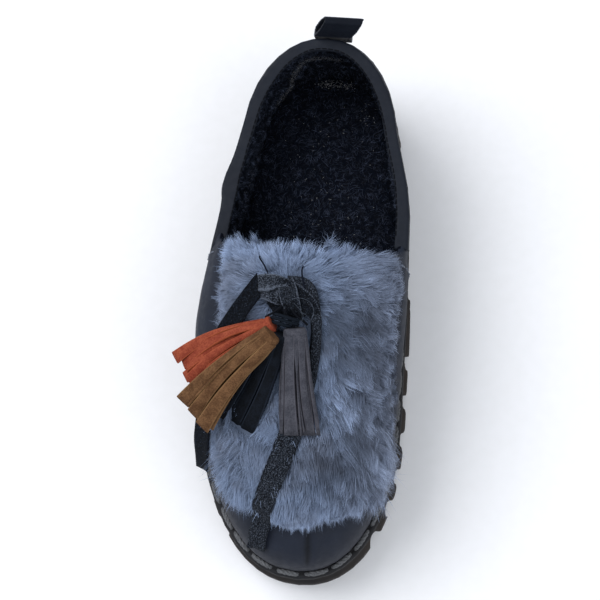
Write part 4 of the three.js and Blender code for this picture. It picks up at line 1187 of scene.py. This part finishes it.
SUEDES = {
    "tassel_grey": ("#35363c", "#4e4e54", "#5d5b61"),
    "tassel_brown": ("#4c331f", "#6e4f34", "#8a6a46"),
    "tassel_black": ("#05070b", "#11161e", "#2c3440"),
    "tassel_orange": ("#742f20", "#964b33", "#ab5b38"),
}
STRIP = {
    "thickness": 1.1, "steps": 16, "start": 2.5, "cut_from": (6.5, 11.0), "gap": 1.15, "droop": 1.8,
    "shorter": (0, 3.6), "bow": (-0.8, 0.8), "roll": (-0.4, 0.4), "lift": (-1.2, 1.4), "curl": (1.2, 3.6),
    "flares_from": 4, "flattest": 0.08, "free_arch": 0.35, "overlap": 0.4, "parts": 4,
    "steepest": 0.9, "levels": 0.7, "tilt": 0.8, "full_camber": 4,
}
HEAD = {"across": 5.5, "high": 3.7, "neck": 0.88, "widest": 11.0, "long": 9.0, "sinks_from": 4.5}
# The bevel and the voxel of a roll are for the cylinder of radius 1 that it starts as.
ROLL = {
    "sides": 28, "bevel": 0.16, "bevel_steps": 4, "voxel": 0.06, "rounds": 4, "above": 0.6, "sinks": 2.2,
    "wider": 0.4, "higher": 0.9, "dents": 0.25, "dents_round": 2.2, "dents_along": 3,
}
LAYERS = [{"out": 1.0, "turned": 1}, {"out": 0.2, "turned": -1}, {"out": -0.6, "turned": 1}]
CAMBER = [(-0.5, 0.0), (-0.4, 0.3), (0.0, 0.45), (0.4, 0.3), (0.5, 0.0)]
PALE_CUT = {"rim": 0.55, "side": 0.7}


def head_size(run):
    """How much of its full width the rolled suede has, that far below its top."""
    return HEAD["neck"] + (1 - HEAD["neck"]) * min(1, max(0, run) / HEAD["widest"])


def tassel_spot(spec, run, middle, high):
    """A place given in a tassel's own axes: down it from its head, across it and out of it."""
    start = at(*spec["head"])
    ahead = (at(*spec["tip"]) - start).normalized()
    side = Vector((0, 0, 1)).cross(ahead).normalized()
    out = ahead.cross(side)
    return start + (ahead * run + side * middle + out * high) * MM


def strip_rings(spec, layer, left, right, dice):
    """Sections of one suede strip, from under the rolled head to its square-cut end, in millimetres."""
    u = (left + right) / 2
    reach = spec["length"] - dice.uniform(*STRIP["shorter"])
    cut = dice.uniform(*STRIP["cut_from"])
    bow = dice.uniform(*STRIP["bow"])
    roll = dice.uniform(*STRIP["roll"])
    lift = dice.uniform(*STRIP["lift"])
    curl = dice.uniform(*STRIP["curl"])
    dome = math.sqrt(max(STRIP["flattest"], 1 - u * u))
    lean = math.asin(max(-STRIP["steepest"], min(STRIP["steepest"], u)))
    droop = curl + STRIP["droop"] * max(0, layer["out"])
    rings = []
    for s in range(STRIP["steps"] + 1):
        share = s / STRIP["steps"]
        run = STRIP["start"] + share * (reach - STRIP["start"])
        free = min(1, max(0, (run - cut) / (reach - cut)))
        half = HEAD["across"] * spec["narrow"] * head_size(run)
        half += math.tan(spec["spread"]) * max(0, run - STRIP["flares_from"])
        middle = u * half + bow * math.sin(math.pi * free) + spec["bend"] * math.sin(math.pi * share)
        arch = dome * (1 - free) + STRIP["free_arch"] * (1 + dome) * free
        high = layer["out"] * HEAD["high"] * head_size(run) * arch
        high += lift * math.sin(0.5 * math.pi * free) - droop * share**3
        width = (right - left) * half + STRIP["overlap"] - STRIP["gap"] * min(1, STRIP["parts"] * free)
        tilt = -lean * layer["out"] * (1 - STRIP["levels"] * free) * STRIP["tilt"] + roll * free
        rings.append((run, middle, high, width, tilt))
    return rings


def strip_outline(width):
    """Outline of a suede strip's section, domed on top, with how pale each corner is."""
    thick = STRIP["thickness"] / 2
    camber = min(1.0, width / STRIP["full_camber"])
    top = [(x, thick + z * camber, PALE_CUT["rim"] if abs(x) == 0.5 else 0.0) for x, z in CAMBER]
    right = [(0.5, thick, PALE_CUT["side"]), (0.5, -thick, PALE_CUT["side"])]
    bottom = [(x, -thick, 0.0) for x, _ in reversed(CAMBER)]
    left = [(-0.5, -thick, PALE_CUT["side"]), (-0.5, thick, PALE_CUT["side"])]
    return [(x * width, z, pale) for x, z, pale in (*top, *right, *bottom, *left)]


def build_strips(name, spec, dice):
    """Layers of suede strips that part below the head, as one mesh."""
    points = []
    triangles = []
    tint = []
    columns = len(CAMBER)
    size = 2 * columns + 4
    walls = [*range(columns - 1), columns, *range(columns + 2, 2 * columns + 1), 2 * columns + 2]
    for layer in LAYERS:
        cuts = [layer["turned"] * cut for cut in spec["cuts"]][:: layer["turned"]]
        for left, right in zip(cuts, cuts[1:]):
            first = len(points)
            rings = strip_rings(spec, layer, left, right, dice)
            for run, middle, high, width, tilt in rings:
                c, s = math.cos(tilt), math.sin(tilt)
                for x, z, pale in strip_outline(width):
                    spot = tassel_spot(spec, run, middle + x * c - z * s, high + x * s + z * c)
                    points.append(tuple(spot))
                    tint.append(pale)
            for r in range(len(rings) - 1):
                for a in walls:
                    p = first + size * r + a
                    triangles += [[p, p + size + 1, p + 1], [p, p + size, p + size + 1]]
            for end in (first, first + size * (len(rings) - 1)):
                for k in range(columns - 1):
                    a, b = end + k, end + 2 * columns + 1 - k
                    triangles += [[a, a + 1, b], [a + 1, b - 1, b]]
    strips = mesh_object(name + "_strips", np.array(points), np.array(triangles), tint)
    point_outwards(strips)
    return strips


def build_roll(name, spec, index):
    """The smooth roll of suede round the tops of a tassel's strips."""
    bpy.ops.object.select_all(action="DESELECT")
    bpy.ops.mesh.primitive_cylinder_add(vertices=ROLL["sides"], radius=1, depth=1, end_fill_type="TRIFAN")
    roll = bpy.context.object
    roll.name = name + "_roll"
    modify(roll, "BEVEL", width=ROLL["bevel"], segments=ROLL["bevel_steps"], limit_method="ANGLE")
    round_off(roll, ROLL["voxel"], ROLL["rounds"])
    placed = []
    for x, y, z in vertices_of(roll):
        run = (0.5 - z) * HEAD["long"] - ROLL["above"]
        sunk = ROLL["sinks"] * float(smoothstep(run, HEAD["sinks_from"], HEAD["long"]))
        wide = HEAD["across"] * spec["narrow"] * head_size(run) + ROLL["wider"] - sunk
        high = HEAD["high"] * head_size(run) + ROLL["higher"] - sunk
        rounds, along = ROLL["dents_round"], ROLL["dents_along"]
        dent = ROLL["dents"] * noise.noise(Vector((rounds * x, rounds * y, along * z + index)))
        placed.append(tuple(tassel_spot(spec, run, x * (wide + dent), y * (high + dent))))
    move_vertices(roll, np.array(placed))
    set_shade(roll, "tint", np.zeros(len(placed)))
    return roll


def build_tassel(name, spec, index):
    """A rolled suede fringe: layers of strips that part below the head, and the roll round their tops."""
    look = name.replace("tassel", "suede")
    strips = build_strips(name, spec, random.Random(SEED + index))
    material = suede(look, *SUEDES[name])
    finish_piece(strips, material, look, name)
    finish_piece(build_roll(name, spec, index), material, look)


# Stitches and threads

WELT_STITCH = {
    "pitch": 13.2, "length": 11.0, "ply": 0.72, "plies": 3, "steps": 14, "turns": 1.6,
    "spacing": 1.1, "wall_at": 1.5, "out": 1.4, "rise": 2.0, "sunk": 1.1, "blunt": 0.5,
}
SEAM_STITCH = {
    "pitch": 3.6, "length": 2.7, "radius": 0.4, "behind": -2.2, "from": 40.0, "to": 79.0,
    "steps": 4, "far": 90, "look": 0.1, "rise": 0.35, "sunk": 0.1,
}
BINDING_STITCH = {
    "pitch": 3.0, "length": 2.3, "radius": 0.3, "in_from_edge": 1.1, "first": 1.0, "points": 5,
    "middle": 60, "turns": 150, "end": 0.02, "near": 0.03, "rounds": 6,
}
AROUND = {"turns": 360, "runs": 80, "heel": 46 * MM, "toe": 200 * MM, "far": 0.15, "look": 0.2}
SEAT = {
    "from_heel": (0, 30, 70, 125, 170, 205, 235, 264),
    "height": (37, 36.9, 35.5, 30, 27, 26.5, 29, 34.5),
}


def around(faces, height_above, spacing):
    """Even places round the shoe where level rays towards the foot's middle line first meet a wall.

    Each is given with the way out of the shoe.
    """
    middle = AXIS_X - FOOT_LINE["aside"]
    heel, toe = HEEL_BACK - AROUND["heel"], HEEL_BACK - AROUND["toe"]
    stops = []
    for i in range(AROUND["turns"]):
        angle = 2 * math.pi * i / AROUND["turns"]
        way = Vector((math.cos(angle), math.sin(angle), 0))
        stops.append((Vector((middle, heel if way.y > 0 else toe, 0)), way))
    for i in range(AROUND["runs"]):
        y = toe + (heel - toe) * (i + 0.5) / AROUND["runs"]
        for side in (1, -1):
            stops.append((Vector((middle, y, 0)), Vector((side, 0, 0))))
    found = []
    for centre, way in stops:
        far = centre + way * AROUND["far"]
        hit = faces.ray_cast(Vector((far.x, far.y, height_above(far))), -way, AROUND["look"])[0]
        if hit is not None:
            found.append((hit, way))
    found.sort(key=lambda f: math.atan2(f[0].x - AXIS_X, f[0].y))
    line = [f[0] for f in found]
    ways = [f[1] for f in found]
    lengths = np.cumsum([0, *[(b - a).length for a, b in zip(line, line[1:] + line[:1])]])
    number = int(lengths[-1] / (spacing * MM))
    places = []
    for k in range(number):
        goal = lengths[-1] * k / number
        i = int(np.searchsorted(lengths, goal, side="right")) - 1
        t = (goal - lengths[i]) / max(1e-9, lengths[i + 1] - lengths[i])
        a, b = i % len(line), (i + 1) % len(line)
        places.append((line[a].lerp(line[b], t), ways[a].lerp(ways[b], t).normalized()))
    return places


def seat_height(y):
    """Top of the welt at one place along the shoe."""
    return np.interp((HEEL_BACK - y) / MM, SEAT["from_heel"], SEAT["height"]) * MM


def build_welt_stitches(upper_faces):
    """Heavy three-ply stitches in the crease between upper and welt, a little fuzzy."""
    spacing = WELT_STITCH["spacing"]
    fine = around(upper_faces, lambda p: seat_height(p.y) + WELT_STITCH["wall_at"] * MM, spacing)
    number = int(len(fine) / (WELT_STITCH["pitch"] / spacing))
    half = WELT_STITCH["length"] / (2 * spacing)
    routes = []
    for n in range(number):
        middle = n * len(fine) / number
        for ply in range(WELT_STITCH["plies"]):
            route = []
            for k in range(WELT_STITCH["steps"] + 1):
                share = k / WELT_STITCH["steps"]
                place, way = fine[int(round(middle + (2 * share - 1) * half)) % len(fine)]
                turn = 2 * math.pi * (ply / WELT_STITCH["plies"] + WELT_STITCH["turns"] * share)
                bulge = math.sin(math.pi * share) ** WELT_STITCH["blunt"]
                radius = WELT_STITCH["ply"] * MM * bulge
                centre = Vector((place.x, place.y, seat_height(place.y))) + way * WELT_STITCH["out"] * MM
                centre.z += (WELT_STITCH["rise"] * bulge - WELT_STITCH["sunk"]) * MM
                up = Vector((0, 0, radius * math.sin(turn)))
                route.append(centre + way * radius * math.cos(turn) + up)
            routes.append(route)
    made = tubes("welt_stitches", routes, WELT_STITCH["ply"] * MM)
    finish_piece(made, yarn("waxed_grey_thread", "#262728", "#828384"), "leather")
    fuzz = short_hairs("stitch_fuzz", *scatter(made, HAIRS["stitch_fuzz"]["count"]))
    finish_piece(fuzz, hair_material("grey_fuzz", "#3d4046", "#8e9196"), "leather")


def build_seam_stitches(upper_faces):
    """A row of small grey stitches down each side where the vamp laps over the quarter."""
    routes = []
    steps = SEAM_STITCH["steps"]
    for side in (-1, 1):
        for n in range(int((SEAM_STITCH["to"] - SEAM_STITCH["from"]) / SEAM_STITCH["pitch"])):
            route = []
            for k in range(steps + 1):
                z = SEAM_STITCH["from"] + n * SEAM_STITCH["pitch"] + k / steps * SEAM_STITCH["length"]
                from_heel = SEAM["low"] + (SEAM["high"] - SEAM["low"]) * z / SEAM["top"]
                far = at(from_heel - SEAM_STITCH["behind"], side * SEAM_STITCH["far"], z)
                hit, out, _, _ = upper_faces.ray_cast(far, Vector((-side, 0, 0)), SEAM_STITCH["look"])
                if hit is not None:
                    rise = SEAM_STITCH["rise"] * math.sin(math.pi * k / steps) - SEAM_STITCH["sunk"]
                    route.append(hit + out * rise * MM)
            if len(route) == steps + 1:
                routes.append(route)
    made = tubes("seam_stitches", routes, SEAM_STITCH["radius"] * MM)
    finish_piece(made, yarn("grey_seam_thread", "#454b54", "#858b95"), "leather")


def build_binding_stitches(binding):
    """Fine black stitches along the inner edge of the binding."""
    spec = BINDING_STITCH
    points = vertices_of(binding)
    middle = np.array([AXIS_X, HEEL_BACK - spec["middle"] * MM])
    from_middle = points[:, :2] - middle
    angle = np.arctan2(from_middle[:, 0], from_middle[:, 1])
    far = np.linalg.norm(from_middle, axis=1)
    line = []
    for turn in np.linspace(angle.min() + spec["end"], angle.max() - spec["end"], spec["turns"]):
        near = np.abs(angle - turn) < spec["near"]
        if near.any():
            inner = near & (far < far[near].min() + spec["in_from_edge"] * MM)
            line.append(points[inner][points[inner][:, 2].argmax()])
    line = np.array(line)
    for _ in range(spec["rounds"]):
        line[1:-1] = (line[:-2] + 2 * line[1:-1] + line[2:]) / 4
    run = np.concatenate([[0], np.cumsum(np.linalg.norm(np.diff(line, axis=0), axis=1))]) / MM
    routes = []
    for start in np.arange(spec["first"], run[-1] - spec["pitch"], spec["pitch"]):
        stops = start + np.linspace(0, spec["length"], spec["points"])
        route = np.stack([np.interp(stops, run, line[:, i]) for i in range(3)], axis=1)
        routes.append([Vector(p) for p in route])
    made = tubes("binding_stitches", routes, spec["radius"] * MM)
    finish_piece(made, yarn("black_binding_thread", "#020305", "#0b0e13"), "binding")


# Pile hairs and lint

HAIRS = {
    "lining_pile": {
        "count": 20000, "length": 3.2, "width": 0.34, "lean": 0.7, "bright": (0.25, 1.0), "curl": 3.2,
    },
    "footbed_pile": {
        "count": 20000, "length": 3.8, "width": 0.34, "lean": 0.74, "bright": (0.1, 1.0), "curl": 3.2,
    },
    "stitch_fuzz": {
        "count": 7000, "length": 1.0, "width": 0.14, "lean": 0.75, "bright": (0.3, 1.0), "curl": 1.2,
    },
    "lint": {"length": 0.8, "width": 0.3, "lean": 0.95, "bright": (0.6, 1.0), "curl": 0.6},
}
CURLED = {
    "sway": 0.2, "lengths": (0.5, 1.3), "up": 0.5, "along": 0.35, "patch": 0.7, "shade": 0.75,
    "patchy": 0.9, "darkest": 0.02, "shades_along": (0.2, 0.7, 1.0),
}
PILE = {
    "fur_from": 93, "fur_above": 54, "lining_to": 128, "lining_above": 34, "flat": 0.3, "footbed_to": 130,
}
LINT_LIFT = (0.8, 2.2)


def hair_material(name, dark, pale):
    """Loose fibres: their shade runs from root to tip."""
    made, tree, shader, _ = new_material(name)
    along = add(tree, "Attribute", attribute_name="tint").outputs["Fac"]
    colour = add(tree, "Mix", {0: along, 6: linear(dark), 7: linear(pale)}, data_type="RGBA").outputs[2]
    tree.links.new(colour, shader.inputs["Base Color"])
    shader.inputs["Roughness"].default_value = 0.8
    shader.inputs["Specular IOR Level"].default_value = 0.1
    return made


def short_hairs(name, spots, facing):
    """Short bent hairs. Neighbours lean the same way within a curl, and some curls are paler."""
    spec = HAIRS[name]
    lean = spec["lean"]
    count = len(spots)
    swirl = np.array([noise.noise_vector(Vector(s) * per_mm(spec["curl"])) for s in spots])
    swirl += rng.normal(size=(count, 3)) * CURLED["sway"]
    tangent = swirl - facing * (swirl * facing).sum(axis=1, keepdims=True)
    tangent /= np.linalg.norm(tangent, axis=1, keepdims=True)
    reach = rng.uniform(*CURLED["lengths"], (count, 1)) * spec["length"] * MM
    middle = spots + facing * reach * CURLED["up"] * (1 - lean) + tangent * reach * CURLED["along"] * lean
    tip = spots + facing * reach * (1 - lean) + tangent * reach * lean
    paths = np.stack([spots, middle, tip], axis=1)
    sides = np.cross(tangent, facing)
    patch = np.array([noise.noise(Vector(s) * per_mm(CURLED["patch"] * spec["curl"])) for s in spots])
    shades = rng.uniform(*spec["bright"], count) ** 3 * (CURLED["shade"] + CURLED["patchy"] * patch)
    shades = np.clip(shades, CURLED["darkest"], 1)[:, None] * np.array(CURLED["shades_along"])[None]
    return strands(name, paths, sides, np.full(count, spec["width"] * MM), shades)


LINT_LINES = [
    {"ends": [(13, -13, 73), (15.3, -19.3, 61)], "count": 190, "loose": 2.6},
    {"ends": [(15.3, -19.3, 61), (18, -22.8, 45)], "count": 190, "loose": 2.6},
    {"ends": [(18, -22.8, 45), (27.2, -28.7, 45)], "count": 130, "loose": 3.2},
    {"ends": [(13, -13, 73), (9.8, -5, 72)], "count": 190, "loose": 2.6},
    {"ends": [(9.8, -5, 72), (10, 5, 70)], "count": 190, "loose": 2.6},
    {"ends": [(14, -7.2, 41), (13.7, 10.7, 41)], "count": 150, "loose": 3.0},
    {"ends": [(20, 18.8, 42), (66, 34, 62)], "count": 130, "loose": 7.0},
    {"ends": [(50, -35, 46), (80, -37, 50)], "count": 60, "loose": 6.0},
    {"ends": [(30, -6, 41), (110, 4, 41)], "count": 120, "loose": 24.0},
]


def build_pile(upper, footbed):
    """Curly pile on the footbed and on the lining that shows, the lining's painted paler, and white lint
    caught along worn lines.
    """
    def lining(centres, normals):
        inward = ((foot_axis(centres) - centres) * normals).sum(axis=1) > 0
        from_heel = from_heel_of(centres)
        height = centres[:, 2]
        hidden = (from_heel > PILE["fur_from"]) & (height > PILE["fur_above"] * MM)
        shown = (from_heel < PILE["lining_to"]) & (height > PILE["lining_above"] * MM)
        return (inward & ~hidden & shown).astype(float)

    def upward(centres, normals):
        shown = centres[:, 1] > HEEL_BACK - PILE["footbed_to"] * MM
        return ((normals[:, 2] > PILE["flat"]) & shown).astype(float)

    # Painted light: the lining's pile has paler tips than the same pile on the footbed, to lift the walls
    # out of the collar's shade.
    dark = hair_material("black_pile_hair", "#010206", "#59637a")
    painted_light_lining_hair = hair_material("black_lining_hair_painted_light", "#02040a", "#8491ac")
    for name, base, chosen, material in (
        ("lining_pile", upper, lining, painted_light_lining_hair), ("footbed_pile", footbed, upward, dark),
    ):
        finish_piece(short_hairs(name, *scatter(base, HAIRS[name]["count"], chosen)), material, "plush")
    walls = surface_of(upper)
    floor = surface_of(footbed)
    spots, facing = [], []
    for line in LINT_LINES:
        a, b = [at(*end) for end in line["ends"]]
        for _ in range(line["count"]):
            guess = a.lerp(b, rng.uniform()) + Vector(rng.normal(size=3)) * line["loose"] * MM / 2
            on_wall, on_floor = walls.find_nearest(guess), floor.find_nearest(guess)
            near = on_wall if on_wall[3] < on_floor[3] else on_floor
            inward = foot_axis(np.array([near[0]]))[0] - np.array(near[0])
            if inward @ np.array(near[1]) > 0:
                spots.append(tuple(near[0] + near[1] * rng.uniform(*LINT_LIFT) * MM))
                facing.append(tuple(near[1]))
    white = hair_material("white_lint", "#77787a", "#d9dad8")
    finish_piece(short_hairs("lint", np.array(spots), np.array(facing)), white, "plush")


# Thread ends

THREAD_STEPS = 12
THREADS = {
    "navy_thread_ends": {
        "radius": 0.38, "colours": ("#04060c", "#141a28"),
        "routes": [
            [(121.5, -22, 99.5), (123, -21.5, 101.2), (126, -19.3, 102), (130, -17, 102.5)],
            [(124.5, -1.6, 99.5), (127, -1.9, 101.5), (131, -1.2, 102.2), (136, 0.3, 102)],
        ],
    },
    "black_tassel_cord": {
        "radius": 0.55, "colours": ("#020306", "#10141b"),
        "routes": [
            [(144, -9, 100), (147, -8, 99.6), (150, -5.5, 98.6), (153, -3, 98)],
            [(145, -7.5, 100.4), (148, -8.2, 99.4), (151, -9.6, 98.2), (155, -11, 97)],
            [(145, -5, 100), (147.5, -3, 98.6), (149.5, 0.5, 97), (151, 2.5, 95.8)],
            [(143, -8.5, 101), (145.5, -11, 100.4), (147.5, -14, 98.6), (149, -17, 97)],
        ],
    },
    "black_tassel_wrap": {
        "radius": 0.85, "colours": ("#04070c", "#151d26"),
        "routes": [
            [(147.5, -13, 98.2), (148.5, -10, 100.6), (149.5, -5.5, 100.6), (150, -1.5, 98.0)],
            [(149, -14, 97.6), (150.2, -10.5, 100.2), (151.2, -6, 100.0), (151.6, -1.5, 97.2)],
            [(150.8, -14, 97.0), (152, -11, 99.6), (152.6, -7.5, 99.2), (152.8, -4.5, 97.0)],
        ],
    },
    "pale_fibres": {
        "radius": 0.1, "colours": ("#2a3038", "#5d646f"),
        "routes": [
            [(141.5, -5, 104.4), (140.5, -1, 103.6), (141.5, 3, 101.2), (145, 5, 98.6), (149, 4, 97)],
            [(143, -4, 103.8), (145.5, -1, 101.4), (148, 0.5, 99.4), (151, -0.5, 98.6)],
            [(146, 6.5, 97), (146.8, 9, 96.6), (146.4, 11.5, 96.2)],
            [(114, -43, 81.4), (116.5, -42.6, 84.4), (120, -40, 89), (123.5, -36.6, 93)],
        ],
    },
}


def build_threads():
    """Thread ends, the cord that ties the tassels, and pale fibres caught in the knot."""
    for name, spec in THREADS.items():
        routes = [spline([np.array(at(*p)) for p in route], THREAD_STEPS) for route in spec["routes"]]
        made = tubes(name, routes, spec["radius"] * MM)
        finish_piece(made, yarn(name + "_yarn", *spec["colours"]), "velvet")


def build():
    """The whole shoe: the wall and what is sewn to it first, and the hair round the rest last."""
    add_camera()
    add_studio()
    upper = build_upper()
    upper_faces = surface_of(upper)
    hide = leather("smooth_trim_leather", "#0c1018", "#151b25", 0.58, 0.8, 0.1)
    smooth_copy("welt", leather("welt_leather", "#0c0e12", "#16191e", 0.62, 1.1, 0.3))
    smooth_copy("outsole", rubber())
    footbed = smooth_copy("insole", plush("footbed_pile", "#03050a", "#111722"))
    fill_to_walls(footbed)
    binding = smooth_copy("collar_binding", hide)
    lengthen_binding(binding)
    bag_out(binding, BAGGY["walls"]["binding"])
    build_binding_stitches(binding)
    lean_tape(smooth_copy("pull_loop", hide))
    build_pile(upper, footbed)
    build_welt_stitches(upper_faces)
    build_seam_stitches(upper_faces)
    pelt_faces = surface_of(frame["nodes"]["fur_cover"])
    build_bow(upper_faces, pelt_faces)
    build_threads()
    for index, (name, spec) in enumerate(TASSELS.items()):
        build_tassel(name, spec, index)
    pressing = [o for o in bpy.data.objects if o.name.startswith(("ribbon_", "tassel_"))]
    blockers = surface_of(*[o for o in pressing if o not in frame["nodes"].values()])
    build_fur(upper_faces, pelt_faces, blockers)


build()
